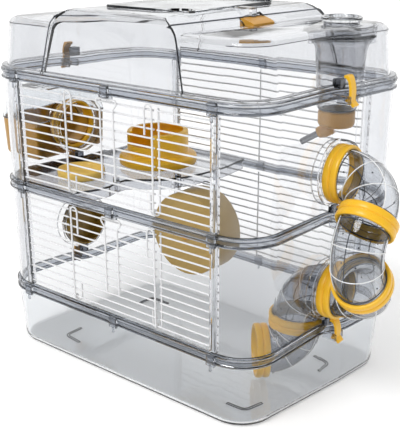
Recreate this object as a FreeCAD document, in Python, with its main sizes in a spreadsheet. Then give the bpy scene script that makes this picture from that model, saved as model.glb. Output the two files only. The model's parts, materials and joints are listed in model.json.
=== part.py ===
import FreeCAD, Part
import math
import os
import Sketcher
from FreeCAD import Placement, Rotation, Vector

# Two-storey wire and plastic cage for small animals, in millimetres.
# Origin: middle of the tub's underside. X runs along the length, Y is the depth
# with the door wall at -Y, Z is up. The plan is the same after half a turn about Z.

doc = FreeCAD.newDocument("SmallAnimalCage")

SIZES = {
    # Plan of the rims, right-hand half; the left half is this turned half round
    "half_depth": 121.0,
    "front_corner_x": 166.8,
    "notch_x": 174.0,
    "notch_y": 0.0,
    "hip_x": 188.0,
    "hip_y": 23.0,
    "back_corner_x": 200.7,
    "front_bend": 45.0,
    "waist_bend": 30.0,
    "back_bend": 40.0,
    "bend_step": 22.5,
    # Heights
    "tub_rim_top": 79.0,
    "storey_pitch": 125.0,
    "rim_height": 10.5,
    "lid_crease": 48.0,
    # Tub
    "tub_wall": 2.2,
    "tub_floor": 2.5,
    "tub_top_inset": 1.5,
    "tub_draft": 4.0,
    "tub_edge": 6.0,
    "floor_mark_width": 2.5,
    "floor_mark_height": 1.0,
    "floor_mark_x": 118.0,
    "floor_mark_y": 72.0,
    "floor_mark_leg": 24.0,
    # Rim section
    "rim_inside": 6.8,
    "rim_band_inset": 1.4,
    "rim_top_bead": 3.0,
    "rim_foot_bead": 2.2,
    "boss_width": 11.0,
    "boss_drop": 2.0,
    "boss_reach": 2.6,
    "pin_radius": 1.6,
    "pin_drop": 5.5,
    # End panels and their posts
    "panel_inset": 3.5,
    "panel_wall": 2.0,
    "post_short_x": 119.6,
    "post_long_x": 148.7,
    "post_width": 8.0,
    "post_outer_inset": 1.4,
    "post_inner_inset": 8.6,
    # Ports and tube run
    "port_y": 6.5,
    "port_height": 41.5,
    "port_plane_x": 184.3,
    "port_skirt_radius": 32.0,
    "port_skirt_wall": 2.0,
    "port_plate": 2.5,
    "port_hole_radius": 28.9,
    "tube_radius": 25.2,
    "tube_wall": 1.4,
    "tube_sides": 16,
    "tube_steps": 4,
    "inner_leg": 45.0,
    "outlet_leg": 38.0,
    "elbow_straight": 5.0,
    "outlet_angle": 222.0,
    "ring_bore": 27.9,
    "ring_lip": 26.6,
    "ring_radius": 29.8,
    "ring_groove_radius": 28.9,
    "ring_bead": 6.9,
    "ring_groove": 1.4,
    "ring_sides": 16,
    "ring_room": 0.8,
    # Wires
    "wire": 2.2,
    "wire_inset": 3.5,
    "wire_first": 6.5,
    "wire_last": 6.8,
    "wire_count": 12,
    "back_wire_x": 12.8,
    # Doors
    "door_centre_x": -12.8,
    "door_edge": 59.5,
    "opening_edge": 64.5,
    "hook_turn_in": 9.5,
    "hook_leg": 25.0,
    "hook_rise": 5.0,
    "cradle_turn_in": 12.0,
    "cradle_drop": 4.7,
    "cradle_leg": 14.0,
    "eye_radius": 2.9,
    "eye_clearance": 0.1,
    "latch_spread": 9.0,
    "latch_bulge": 4.5,
    "spring_foot": 28.0,
    "catch_width": 9.0,
    "catch_drop": 6.0,
    # Clips at the two ends
    "clip_y": 6.5,
    "clip_width": 10.0,
    "clip_thick": 2.8,
    "clip_pivot_out": 6.4,
    "clip_pivot_drop": 9.0,
    "clip_reach_up": 9.5,
    "lid_clip_reach_up": 14.0,
    "clip_lean": 1.2,
    "clip_bow": 2.0,
    "clip_hook": 4.8,
    "clip_tab": 8.5,
    "clip_pin": 1.5,
    "clip_ear": 3.0,
    "keeper_width": 10.0,
    "keeper_height": 9.0,
    "keeper_gap": 3.0,
    "fit": 0.06,
    "seat_gap": 0.3,
    # Lid
    "lid_inset": 7.0,
    "lid_draft": 6.0,
    "lid_wall": 2.0,
    "lid_dome": 8.0,
    "lid_foot": 3.0,
    "bridge_half": 84.0,
    "bridge_foot": 95.0,
    "bridge_skew": 6.7,
    "bridge_rise": 20.0,
    "bridge_shoulder": 20.0,
    "bridge_flat": 58.0,
    "bridge_inset": 5.0,
    "hatch_half_x": 56.0,
    "hatch_front_y": -74.0,
    "hatch_hinge_y": 68.0,
    "hatch_thick": 2.4,
    "hinge_pin": 1.6,
    "knuckle_radius": 3.4,
    "knuckle_length": 24.0,
    "latch_length": 36.0,
    "latch_wide": 18.0,
    "latch_out": 72.5,
    "latch_foot": 17.0,
    "latch_drop": 5.0,
    "latch_tongue": 18.0,
    "latch_y": 1.0,
    "latch_travel": 3.0,
    # Water bottle
    "bottle_x": 145.0,
    "bottle_y": 58.0,
    "bottle_flange": 32.0,
    "bottle_flare": 26.0,
    "bottle_radius": 22.0,
    "bottle_neck": 18.0,
    "bottle_wall": 1.6,
    "bottle_flange_rise": 37.0,
    "bottle_length": 70.0,
    "bottle_cap_radius": 20.0,
    "bottle_cap_height": 17.0,
    "neck_rise": 2.5,
    "refill_radius": 20.5,
    "refill_height": 5.0,
    "nozzle_radius": 8.0,
    "nozzle_length": 22.0,
    "spout_radius": 3.4,
    "spout_length": 34.0,
    "spout_wall": 0.6,
    "spout_tilt": 30.0,
    "spout_turn": 205.0,
    # Shelf
    "shelf_thick": 2.5,
    "shelf_skirt": 12.0,
    "shelf_inset": 7.9,
    "ledge_depth": 3.0,
    "ledge_thick": 2.5,
    # Bowl and toilet on the shelf
    "bowl_x": -114.0,
    "bowl_y": -62.0,
    "bowl_radius": 27.0,
    "bowl_height": 10.0,
    "bowl_wall": 2.0,
    "toilet_x": -86.0,
    "toilet_y": 40.0,
    "toilet_flange": 47.0,
    "toilet_radius": 37.0,
    "toilet_height": 40.0,
    "toilet_wall": 2.0,
    # Wheel
    "wheel_x": -7.0,
    "wheel_y": -5.0,
    "wheel_drop": 64.0,
    "wheel_radius": 49.0,
    "wheel_depth": 40.0,
    "wheel_wall": 2.0,
    "wheel_hub": 7.0,
    "axle_radius": 3.0,
    "bracket_width": 18.0,
    "bracket_thick": 4.0,
    # Nest house on the upper left port
    "house_near_x": -199.0,
    "house_length": 76.0,
    "house_front_y": -52.0,
    "house_depth": 116.0,
    "house_floor_drop": 1.0,
    "house_base_height": 47.0,
    "house_roof_height": 37.0,
    "house_corner": 24.0,
    "house_wall": 2.0,
    "house_roof_draft": 9.0,
    # Plug in the lower left port
    "plug_flange": 29.5,
    "plug_flange_thick": 3.0,
    "plug_depth": 12.0,
    "plug_grip_height": 9.0,
    "plug_grip_width": 7.0,
}

sheet = doc.addObject("Spreadsheet::Sheet", "Dims")
for line, (alias, number) in enumerate(SIZES.items(), start=1):
    sheet.set("A%d" % line, alias)
    sheet.set("B%d" % line, str(number))
    sheet.setAlias("B%d" % line, alias)
doc.recompute()

UP = Vector(0, 0, 1)
ALONG = Vector(1, 0, 0)
ACROSS = Vector(0, 1, 0)
TINY = 0.01

pieces = []


def size(alias):
    """The sheet's value under this name."""
    return float(sheet.get(alias))


def half_turn(shape):
    """The same shape on the other end or wall of the cage."""
    copy = shape.copy()
    copy.rotate(Vector(0, 0, 0), UP, 180)
    return copy


def keep(item, label):
    """Name an object as one piece of the cage."""
    item.Label = label
    pieces.append(item)
    return item


def formed(label, shape):
    """A piece whose shape is worked out below from the sheet's sizes."""
    item = doc.addObject("Part::Feature", label)
    item.Shape = shape
    return keep(item, label)


def bound(kind, name, **formulas):
    """A primitive whose properties follow formulas on the sheet."""
    item = doc.addObject(kind, name)
    for prop, formula in formulas.items():
        item.setExpression(prop.replace("__", "."), formula)
    return item


def placed(item, x="0", y="0", z="0", turn=None):
    """Bind an object's place to formulas, with a fixed turn."""
    if turn is not None:
        item.Placement = Placement(Vector(0, 0, 0), turn)
    for axis, formula in (("x", x), ("y", y), ("z", z)):
        item.setExpression("Placement.Base." + axis, formula)
    return item


def joined(name, *items):
    """Fuse objects of the document."""
    fuse = doc.addObject("Part::MultiFuse", name)
    fuse.Shapes = list(items)
    return fuse


def carved(name, base, tool):
    """Cut one object of the document with another."""
    cut = doc.addObject("Part::Cut", name)
    cut.Base = base
    cut.Tool = tool
    return cut


def turned(name, profile):
    """A body of revolution about Z; the profile's points are (radius, height) formulas."""
    body = doc.addObject("PartDesign::Body", name)
    plane = next(f for f in body.Origin.OriginFeatures if f.Role == "XZ_Plane")
    sketch = body.newObject("Sketcher::SketchObject", name + "_profile")
    sketch.AttachmentSupport = (plane, [""])
    sketch.MapMode = "FlatFace"
    spots = [[float(sketch.evalExpression(text)) for text in pair] for pair in profile]
    count = len(spots)
    for i in range(count):
        start = Vector(*spots[i], 0)
        end = Vector(*spots[(i + 1) % count], 0)
        sketch.addGeometry(Part.LineSegment(start, end), False)
    for i in range(count):
        sketch.addConstraint(Sketcher.Constraint("Coincident", i, 2, (i + 1) % count, 1))
        for kind, value, formula in zip(("DistanceX", "DistanceY"), spots[i], profile[i]):
            index = sketch.addConstraint(Sketcher.Constraint(kind, -1, 1, i, 1, value))
            sketch.setExpression("Constraints[%d]" % index, formula)
    spin = body.newObject("PartDesign::Revolution", name + "_turn")
    spin.Profile = sketch
    spin.ReferenceAxis = (sketch, ["V_Axis"])
    spin.Angle = 360
    sketch.Visibility = False
    return body


# The plan outline


def corner_list():
    """Corners of the plan with their bend radii; a radius below zero bends inwards."""
    depth = size("half_depth")
    half = [
        (size("front_corner_x"), -depth, size("front_bend")),
        (size("notch_x"), size("notch_y"), -size("waist_bend")),
        (size("hip_x"), size("hip_y"), size("waist_bend")),
        (size("back_corner_x"), depth, size("back_bend")),
    ]
    return half + [(-x, -y, bend) for x, y, bend in half]


def outline(inset, z=0.0):
    """The rounded plan as a closed wire, moved in by an inset, at height z."""
    corners = corner_list()
    count = len(corners)
    lines = []
    for i in range(count):
        start = Vector(corners[i][0], corners[i][1], 0)
        end = Vector(corners[(i + 1) % count][0], corners[(i + 1) % count][1], 0)
        along = (end - start).normalize()
        inward = Vector(-along.y, along.x, 0)
        lines.append((start + inward * inset, along))
    spots = []
    for i in range(count):
        p, u = lines[i - 1]
        q, v = lines[i]
        cross = u.x * v.y - u.y * v.x
        reach = ((q.x - p.x) * v.y - (q.y - p.y) * v.x) / cross
        spots.append(p + u * reach)
    chain = []
    for i in range(count):
        before = lines[i - 1][1]
        after = lines[i][1]
        bend = corners[i][2]
        radius = abs(bend - inset) if bend > 0 else abs(bend) + inset
        half_angle = before.getAngle(after) / 2
        lean = (after - before).normalize()
        centre = spots[i] + lean * (radius / math.cos(half_angle))
        spoke = spots[i] - before * (radius * math.tan(half_angle)) - centre
        steps = max(1, round(math.degrees(2 * half_angle) / size("bend_step")))
        for k in range(steps + 1):
            turn = math.degrees(2 * half_angle) * k / steps
            chain.append(centre + Rotation(UP, turn if bend > 0 else -turn).multVec(spoke))
    wire = Part.makePolygon(chain + chain[:1])
    wire.translate(Vector(0, 0, z))
    return wire


def slab(inset, z, height):
    """A solid plate of the plan's shape."""
    return Part.Face(outline(inset, z)).extrude(Vector(0, 0, height))


def band(outer, inner, z, height):
    """A ring of the plan's shape between two insets."""
    return slab(outer, z, height).cut(slab(inner, z - 1, height + 2))


def stacked(levels):
    """A solid through (inset, height) levels of the plan, with straight sides between them."""
    return Part.makeLoft([outline(inset, z) for inset, z in levels], True, True)


def ngon(sides, flat_radius, centre, normal, upright):
    """A closed polygon with a flat side towards `upright`, square to `normal`."""
    side_dir = normal.cross(upright).normalize()
    corner_radius = flat_radius / math.cos(math.pi / sides)
    spots = []
    for i in range(sides):
        angle = 2 * math.pi * (i + 0.5) / sides
        spots.append(
            centre + upright * (corner_radius * math.cos(angle)) + side_dir * (corner_radius * math.sin(angle))
        )
    return Part.makePolygon(spots + spots[:1])


WIRE_SIDES = 6
WELL_SIDES = 20
PIN_SIDES = 8
EYE_SIDES = 10


def wire_run(spots, upright=ACROSS):
    """A bent wire with flats through a list of points lying square to `upright`."""
    half = size("wire") / 2
    start = (spots[1] - spots[0]).normalize()
    if len(spots) == 2:
        profile = ngon(WIRE_SIDES, half, spots[0], start, upright)
        return Part.Face(profile).extrude(spots[1] - spots[0])
    rings = []
    for i, spot in enumerate(spots):
        before = (spot - spots[i - 1]).normalize() if i else start
        after = (spots[i + 1] - spot).normalize() if i + 1 < len(spots) else before
        normal = (before + after).normalize()
        stretch = 1 / normal.dot(before)
        side_dir = normal.cross(upright).normalize()
        corner = half / math.cos(math.pi / WIRE_SIDES)
        ring = []
        for k in range(WIRE_SIDES):
            angle = 2 * math.pi * (k + 0.5) / WIRE_SIDES
            ring.append(
                spot + upright * (corner * math.cos(angle)) + side_dir * (corner * stretch * math.sin(angle))
            )
        rings.append(Part.makePolygon(ring + ring[:1]))
    return Part.makeLoft(rings, True, True)


def level(storey):
    """Height of the rim's top edge that a storey stands on, 0 for the lower one."""
    return size("tub_rim_top") + storey * size("storey_pitch")


def wall_y():
    """Distance of the wire walls' plane from the middle."""
    return size("half_depth") - size("wire_inset")


# Tub

FLOOR_MARK_ENDS = ((1, 1), (-1, 1), (-1, -1), (1, -1))


def make_tub():
    top_z = size("tub_rim_top") - size("rim_height")
    top_inset = size("tub_top_inset")
    low_inset = top_inset + size("tub_draft")
    edge = size("tub_edge")
    wall = size("tub_wall")
    floor = size("tub_floor")
    outer = stacked([
        (low_inset + edge, 0),
        (low_inset + 0.3 * edge, 0.3 * edge),
        (low_inset, edge),
        (top_inset, top_z),
    ])
    inner = stacked([
        (low_inset + edge, floor),
        (low_inset + wall + 0.2 * edge, floor + 0.5 * edge),
        (top_inset + wall, top_z + TINY),
    ])
    tub = outer.cut(inner)
    mark = size("floor_mark_width")
    leg = size("floor_mark_leg")
    for sx, sy in FLOOR_MARK_ENDS:
        corner = Vector(sx * size("floor_mark_x"), sy * size("floor_mark_y"), floor - TINY)
        tall = size("floor_mark_height") + TINY
        bars = Part.makeBox(leg, mark, tall).fuse(Part.makeBox(mark, leg, tall))
        bars.rotate(Vector(0, 0, 0), UP, {(1, 1): 180, (-1, 1): 270, (-1, -1): 0, (1, -1): 90}[sx, sy])
        bars.translate(corner)
        tub = tub.fuse(bars)
    return tub.removeSplitter()


formed("tub", make_tub())


# Rims


def flank_x(y):
    """The plan's edge beside the notch at the right-hand end."""
    slope = (size("hip_x") - size("notch_x")) / (size("hip_y") - size("notch_y"))
    return size("notch_x") + max(0, y - size("notch_y")) * slope


def clip_pivot(top):
    """Pivot of the right-hand clip on the rim whose top edge is at `top`."""
    outermost = flank_x(size("clip_y") + size("clip_width") / 2)
    return Vector(outermost + size("clip_pivot_out"), size("clip_y"), top - size("clip_pivot_drop"))


def clip_mount(top):
    """Two ears with a bore for the clip's pin."""
    pivot = clip_pivot(top)
    ear = size("clip_ear")
    ear_radius = 4.0
    nose = ear_radius - 1.2
    bore = size("clip_pin") + size("fit")
    solid = None
    for sign in (-1, 1):
        y = pivot.y + sign * (size("clip_width") / 2 + size("seat_gap")) - (ear if sign < 0 else 0)
        reach = pivot.x - flank_x(y + ear / 2) + 3
        arm = Part.Face(Part.makePolygon([
            pivot + Vector(-reach, 0, -ear_radius), pivot + Vector(nose, 0, -ear_radius),
            pivot + Vector(ear_radius, 0, -nose), pivot + Vector(ear_radius, 0, nose),
            pivot + Vector(nose, 0, ear_radius), pivot + Vector(-reach, 0, ear_radius),
            pivot + Vector(-reach, 0, -ear_radius),
        ])).extrude(ACROSS * ear)
        arm.translate(Vector(0, y - pivot.y, 0))
        part = arm.cut(Part.makeCylinder(bore, ear + 2, Vector(pivot.x, y - 1, pivot.z), ACROSS))
        solid = part if solid is None else solid.fuse(part)
    return solid


def keeper(low, wall_inset):
    """The block on the piece above a rim that the clip's hook closes against."""
    pivot = clip_pivot(low)
    width = size("keeper_width")
    height = size("keeper_height")
    outer = pivot.x - size("clip_lean") - size("clip_hook") - size("keeper_gap")
    start = size("notch_x") - size("lid_inset") - size("lid_draft")
    block = Part.makeBox(outer - start, width, height, Vector(start, pivot.y - width / 2, low))
    return block.cut(slab(wall_inset, low - 1, height + 2))


def rim_bosses(top, middle_pin):
    """Bosses over the posts and at the middle of each long wall, with the pins' ends below."""
    base = top - size("rim_height")
    width = size("boss_width")
    reach = size("boss_reach")
    drop = size("boss_drop")
    depth = size("half_depth")
    solid = None
    for x in (-size("post_long_x"), size("door_centre_x"), size("post_short_x")):
        box = Part.makeBox(
            width, depth + reach - (size("half_depth") - size("post_outer_inset")), size("rim_height") + drop,
            Vector(x - width / 2, -depth - reach, base - drop),
        )
        solid = box if solid is None else solid.fuse(box)
        if x == size("door_centre_x") and not middle_pin:
            continue
        foot = Vector(x, -depth - reach / 2 + 0.3, base - drop - size("pin_drop"))
        pin = Part.Face(ngon(PIN_SIDES, size("pin_radius"), foot, UP, ACROSS))
        solid = solid.fuse(pin.extrude(UP * (size("pin_drop") + 2)))
    return solid.fuse(half_turn(solid))


def tube_stations():
    """Ring centres, the directions along the run and each elbow's legs."""
    leg = size("storey_pitch") / (2 * math.sqrt(2))
    slope = math.sqrt(0.5)
    turn = math.radians(size("outlet_angle"))
    headings = [
        Vector(1, 0, 0), Vector(0, -slope, -slope), Vector(0, slope, -slope),
        Vector(-1, 0, 0), Vector(0, 0, -1), Vector(math.cos(turn), math.sin(turn), 0),
    ]
    legs = [leg, leg, leg, size("inner_leg"), size("outlet_leg")]
    spots = [Vector(size("port_plane_x"), size("port_y"), level(1) + size("port_height"))]
    for before, after, reach in zip(headings, headings[1:], legs):
        spots.append(spots[-1] + (before + after) * reach)
    return spots, headings, legs


stations, headings, legs = tube_stations()
INNER_RING = 4


def make_rim(top, ledge, catches):
    base = top - size("rim_height")
    inside = size("rim_inside")
    rim = band(size("rim_band_inset"), inside, base, size("rim_height"))
    rim = rim.fuse(band(0, inside, top - size("rim_top_bead"), size("rim_top_bead")))
    rim = rim.fuse(band(0, inside, base, size("rim_foot_bead")))
    if ledge:
        ledge_top = top - size("shelf_thick")
        rim = rim.fuse(band(
            inside - 1, inside + size("ledge_depth"),
            ledge_top - size("ledge_thick"), size("ledge_thick"),
        ))
    rim = rim.fuse(rim_bosses(top, not catches))
    ears = clip_mount(top).cut(slab(0, base - 8, 8))
    rim = rim.fuse(ears).fuse(half_turn(ears))
    if catches:
        width = size("catch_width")
        back = wall_y() - size("wire") / 2 - size("seat_gap")
        front = size("half_depth") - size("rim_inside")
        catch = Part.makeBox(
            width, back - front + 1, size("catch_drop") + 1,
            Vector(size("door_centre_x") - width / 2, -back, base - size("catch_drop")),
        )
        rim = rim.fuse(catch)
    bay = Part.makeCylinder(size("ring_radius") + size("ring_room"), size("rim_height") + 2)
    bay.translate(Vector(stations[INNER_RING].x, stations[INNER_RING].y, base - 1))
    if top < stations[INNER_RING].z + size("rim_height"):
        rim = rim.cut(bay)
    return rim.removeSplitter()


formed("tub_rim", make_rim(level(0), False, False))
formed("middle_rim", make_rim(level(1), True, True))
formed("top_rim", make_rim(level(2), False, True))


# Clear end panels with the posts that grip the wires


def post(x, y_sign, low, height):
    """One square post on the front (-1) or back (+1) wall."""
    outer = (size("half_depth") - size("post_outer_inset"))
    inner = (size("half_depth") - size("post_inner_inset"))
    width = size("post_width")
    y = inner if y_sign > 0 else -outer
    return Part.makeBox(width, outer - inner, height, Vector(x - width / 2, y, low))


def port_disc(low, radius, start, end):
    """A many-sided disc on the port's axis, from x = start to x = end."""
    centre = Vector(start, size("port_y"), low + size("port_height"))
    face = Part.Face(ngon(int(size("ring_sides")), radius, centre, ALONG, UP))
    return face.extrude(ALONG * (end - start))


def make_panel(storey):
    """The right-hand panel of a storey."""
    low = level(storey)
    height = size("storey_pitch") - size("rim_height")
    wall = band(size("panel_inset"), size("panel_inset") + size("panel_wall"), low, height)
    front = size("post_short_x")
    back = size("post_long_x")
    far = 400
    reach = Part.makePolygon([
        Vector(front, -far, low), Vector(far, -far, low), Vector(far, far, low),
        Vector(back, far, low), Vector(back, 0, low), Vector(front, 0, low), Vector(front, -far, low),
    ])
    panel = wall.common(Part.Face(reach).extrude(Vector(0, 0, height)))
    panel = panel.fuse(post(front, -1, low, height)).fuse(post(back, 1, low, height))
    panel = panel.fuse(keeper(low, size("panel_inset") + size("panel_wall") / 2))
    plate_outer = size("port_plane_x") - size("ring_bead") - size("ring_groove") / 2
    plate_inner = plate_outer - size("port_plate")
    pocket = size("port_skirt_radius")
    start = pocket + size("port_skirt_wall")
    hollow = slab(size("panel_inset") + size("panel_wall"), low - 1, height + 2)
    inner_skirt = port_disc(low, start, plate_inner - 30, plate_inner).cut(hollow)
    plate = port_disc(low, start, plate_inner, plate_outer)
    outer_skirt = port_disc(low, start, plate_outer, plate_outer + 30).common(slab(size("panel_inset"), low, height))
    panel = panel.fuse([inner_skirt, outer_skirt])
    panel = panel.cut(port_disc(low, pocket, plate_inner - 40, plate_outer + 40)).fuse(plate)
    return panel.cut(port_disc(low, size("port_hole_radius"), plate_inner - 1, plate_outer + 1)).removeSplitter()


for storey, name in enumerate(("lower", "upper")):
    formed(name + "_right_panel", make_panel(storey))
    formed(name + "_left_panel", half_turn(make_panel(storey)))


# Wire walls


def wire_height(storey, index):
    """Height of a horizontal wire's centre."""
    room = size("storey_pitch") - size("rim_height") - size("wire_first") - size("wire_last")
    return level(storey) + size("wire_first") + index * room / (size("wire_count") - 1)


def back_grille(storey):
    """Full-length wires between the two back posts, on one upright wire."""
    y = wall_y()
    left = -size("post_short_x") + size("post_width") / 2
    right = size("post_long_x") - size("post_width") / 2
    count = int(size("wire_count"))
    wires = [
        wire_run([Vector(left, y, wire_height(storey, i)), Vector(right, y, wire_height(storey, i))])
        for i in range(count)
    ]
    x = size("back_wire_x")
    upright_y = y - size("wire")
    ends = (level(storey) + 1, wire_height(storey, count - 1) + size("wire") * 2)
    wires.append(wire_run([Vector(x, upright_y, z) for z in ends]))
    return Part.makeCompound(wires)


def arc_spots(centre, radius, start, end, steps):
    """Points of an arc in the plane of the front wall; angles in degrees from +X towards +Z."""
    spots = []
    for i in range(steps + 1):
        angle = math.radians(start + (end - start) * i / steps)
        spots.append(centre + Vector(radius * math.cos(angle), 0, radius * math.sin(angle)))
    return spots


def front_span():
    """X of the inner sides of the two front posts."""
    return -size("post_long_x") + size("post_width") / 2, size("post_short_x") - size("post_width") / 2


def hinge_wire(storey):
    """The lowest wire of the front wall, which the door's eyes turn on."""
    left, right = front_span()
    z = wire_height(storey, 0)
    return Part.makeCylinder(size("wire") / 2, right - left, Vector(left, -wall_y(), z), ALONG)


def front_grille(storey, side):
    """The fixed wires left (-1) or right (+1) of the door, and the upright with its cradle."""
    y = -wall_y()
    end = front_span()[0 if side < 0 else 1]
    count = int(size("wire_count"))
    edge = size("door_centre_x") + side * size("opening_edge")
    wires = []
    for i in range(1, count):
        z = wire_height(storey, i)
        wires.append(wire_run([Vector(min(edge, end), y, z), Vector(max(edge, end), y, z)]))
    inner_y = y + size("wire")
    bend = size("cradle_turn_in") / 2
    top = wire_height(storey, count - 1) + size("wire")
    centre = Vector(edge - side * bend, inner_y, wire_height(storey, 0) + bend - size("cradle_drop"))
    turn = arc_spots(centre, bend, 0 if side > 0 else 180, -180 if side > 0 else 360, 5)
    tip = turn[-1] + Vector(0, 0, size("cradle_leg"))
    wires.append(wire_run([Vector(edge, inner_y, top)] + turn + [tip]))
    return Part.makeCompound(wires)


def front_door(storey):
    """Drop-down door: its eyes turn on the front wall's lowest wire."""
    y = -wall_y()
    front_y = y - size("wire")
    count = int(size("wire_count"))
    middle = size("door_centre_x")
    edge = size("door_edge")
    hinge_z = wire_height(storey, 0)
    half_wire = size("wire") / 2
    door = []
    for i in range(1, count):
        z = wire_height(storey, i)
        ends = (middle - edge - half_wire, middle + edge + half_wire)
        door.append(wire_run([Vector(x, y, z) for x in ends]))
    top = wire_height(storey, count - 1)
    bend = size("hook_turn_in") / 2
    bore = half_wire + size("eye_clearance")
    for side in (-1, 1):
        x = middle + side * edge
        centre = Vector(x - side * bend, front_y, top + size("hook_rise") - bend)
        turn = arc_spots(centre, bend, 0 if side > 0 else 180, 180 if side > 0 else 0, 4)
        tip = turn[-1] - UP * size("hook_leg")
        rod = wire_run([Vector(x, front_y, hinge_z)] + turn + [tip])
        eye_at = Vector(x - half_wire, y, hinge_z)
        ring = Part.Face(ngon(EYE_SIDES, size("eye_radius"), eye_at, ALONG, UP))
        ring = ring.extrude(ALONG * size("wire"))
        hole = Part.makeCylinder(bore, size("wire") + 2, eye_at - ALONG, ALONG)
        door.append(rod.fuse(ring).cut(hole))
    return Part.makeCompound(door)


def door_latch(storey):
    """Spring wire in the middle of the door, bowed out at the top where a finger squeezes it."""
    y = -wall_y() - size("wire")
    count = int(size("wire_count"))
    middle = size("door_centre_x")
    spread = size("latch_spread")
    bulge = spread + size("latch_bulge")
    low = level(storey) + size("spring_foot")
    top = level(storey + 1) - size("rim_height") - size("boss_drop") - size("wire") / 2 - size("seat_gap")
    heights = (low, top - 2 * size("latch_bulge"), top - size("latch_bulge"), top)
    half = [(spread, heights[0]), (spread, heights[1]), (bulge, heights[2]), (bulge - 1.5, heights[3])]
    left = [Vector(middle - x, y, z) for x, z in half]
    right = [Vector(middle + x, y, z) for x, z in reversed(half)]
    return wire_run(left + right)


for storey, name in enumerate(("lower", "upper")):
    formed(name + "_back_grille", back_grille(storey))
    formed(name + "_hinge_wire", hinge_wire(storey))
    formed(name + "_left_grille", front_grille(storey, -1))
    formed(name + "_right_grille", front_grille(storey, 1))
    formed(name + "_door", front_door(storey))
    formed(name + "_door_latch", door_latch(storey))


# Clips that hold the storeys and the lid together


def make_clip(top, reach_up):
    """A bowed lever on a pin, with a hook above and a finger tab below."""
    pivot = clip_pivot(top)
    thick = size("clip_thick")
    width = size("clip_width")
    start = pivot - ACROSS * (width / 2)
    low = start + ALONG * (thick * 0.9)
    high = start + Vector(-size("clip_lean"), 0, size("clip_pivot_drop") + reach_up)
    middle = (low + high) * 0.5 + ALONG * size("clip_bow")
    inward = ALONG * -thick
    outer = Part.Arc(low, middle, high).toShape().discretize(5)
    spots = outer + [spot + inward for spot in reversed(outer)]
    strap = Part.Face(Part.makePolygon(spots + spots[:1])).extrude(ACROSS * width)
    reach = size("clip_hook")
    hook = Part.makeBox(reach, width, thick, high + Vector(-reach, 0, -thick))
    barrel = Part.Face(ngon(PIN_SIDES, thick * 0.9, start, ACROSS, UP)).extrude(ACROSS * width)
    ear = size("clip_ear")
    pin = Part.makeCylinder(size("clip_pin"), width + 2 * ear, start - ACROSS * ear, ACROSS)
    tab = Part.makeBox(size("clip_tab"), width, thick * 0.8, Vector(0, 0, -thick * 0.4))
    tab.rotate(Vector(0, 0, 0), ACROSS, 45)
    tab.translate(start)
    return strap.fuse([hook, barrel, pin, tab]).removeSplitter()


for index, name in enumerate(("tub", "middle", "lid")):
    reach_up = size("lid_clip_reach_up" if name == "lid" else "clip_reach_up")
    formed(name + "_clip_right", make_clip(level(index), reach_up))
    formed(name + "_clip_left", half_turn(make_clip(level(index), reach_up)))


# Tube run: five elbows and the rings that join them


def make_elbow(start, before, after, leg):
    """A quarter-turn tube with flats, from `start` heading `before` to heading `after`."""
    straight = size("elbow_straight")
    bend = leg - straight
    centre = start + before * straight + after * bend
    steps = int(size("tube_steps"))
    sides = int(size("tube_sides"))
    axis = before.cross(after)
    shells = []
    for radius in (size("tube_radius"), size("tube_radius") - size("tube_wall")):
        rings = [ngon(sides, radius, start, before, axis)]
        for i in range(steps + 1):
            angle = math.pi / 2 * i / steps
            spoke = after * -math.cos(angle) + before * math.sin(angle)
            heading = before * math.cos(angle) + after * math.sin(angle)
            rings.append(ngon(sides, radius, centre + spoke * bend, heading, axis))
        rings.append(ngon(sides, radius, start + (before + after) * leg, after, axis))
        shells.append(Part.makeLoft(rings, True, True))
    return shells[0].cut(shells[1])


ELBOWS = ("upper_outer_elbow", "side_elbow", "lower_outer_elbow", "inner_elbow", "outlet_elbow")
for index, name in enumerate(ELBOWS):
    formed(name, make_elbow(stations[index], headings[index], headings[index + 1], legs[index]))


HOOPS = (
    ("inner_bead", "Dims.ring_radius", "Dims.ring_bore", "Dims.ring_bead", "-Dims.ring_groove / 2 - Dims.ring_bead"),
    ("groove", "Dims.ring_groove_radius", "Dims.ring_lip", "Dims.ring_groove", "-Dims.ring_groove / 2"),
    ("outer_bead", "Dims.ring_radius", "Dims.ring_bore", "Dims.ring_bead", "Dims.ring_groove / 2"),
)


def make_ring(name, spot, heading):
    """A ring of two beads; the lip inside its groove sits on the tubes' ends."""
    hoops = []
    for hoop, outer, inner, height, low in HOOPS:
        title = "%s_%s" % (name, hoop)
        skin = placed(bound(
            "Part::Prism", title + "_skin", Polygon="Dims.ring_sides", Circumradius=outer, Height=height,
        ), z=low)
        bore = placed(bound(
            "Part::Prism", title + "_bore", Polygon="Dims.ring_sides", Circumradius=inner, Height=height,
        ), z=low)
        hoops.append(carved(title, skin, bore))
    ring = joined(name, *hoops)
    ring.Placement = Placement(spot, Rotation(UP, heading))
    return keep(ring, name)


RINGS = ("upper_port_ring", "upper_tube_ring", "lower_tube_ring", "lower_port_ring", "inner_ring", "outlet_ring")
for index, name in enumerate(RINGS):
    make_ring(name, stations[index], headings[index])
left_port = Vector(-size("port_plane_x"), -size("port_y"), level(1) + size("port_height"))
make_ring("house_ring", left_port, Vector(-1, 0, 0))


# Lid


def lid_levels(shrink):
    """Insets and heights of the lid's side roofs, moved in by the wall when shrink is not 0."""
    base = level(2) + size("seat_gap")
    crease = level(2) + size("lid_crease")
    low = size("lid_inset")
    high = low + size("lid_draft")
    dome = size("lid_dome")
    return [
        (low + shrink, base - (1 if shrink else 0)),
        (high + shrink, crease - shrink),
        (high + shrink + 0.35 * dome, crease + 0.45 * dome - shrink),
        (high + shrink + dome, crease + 0.75 * dome - shrink),
    ]


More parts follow.
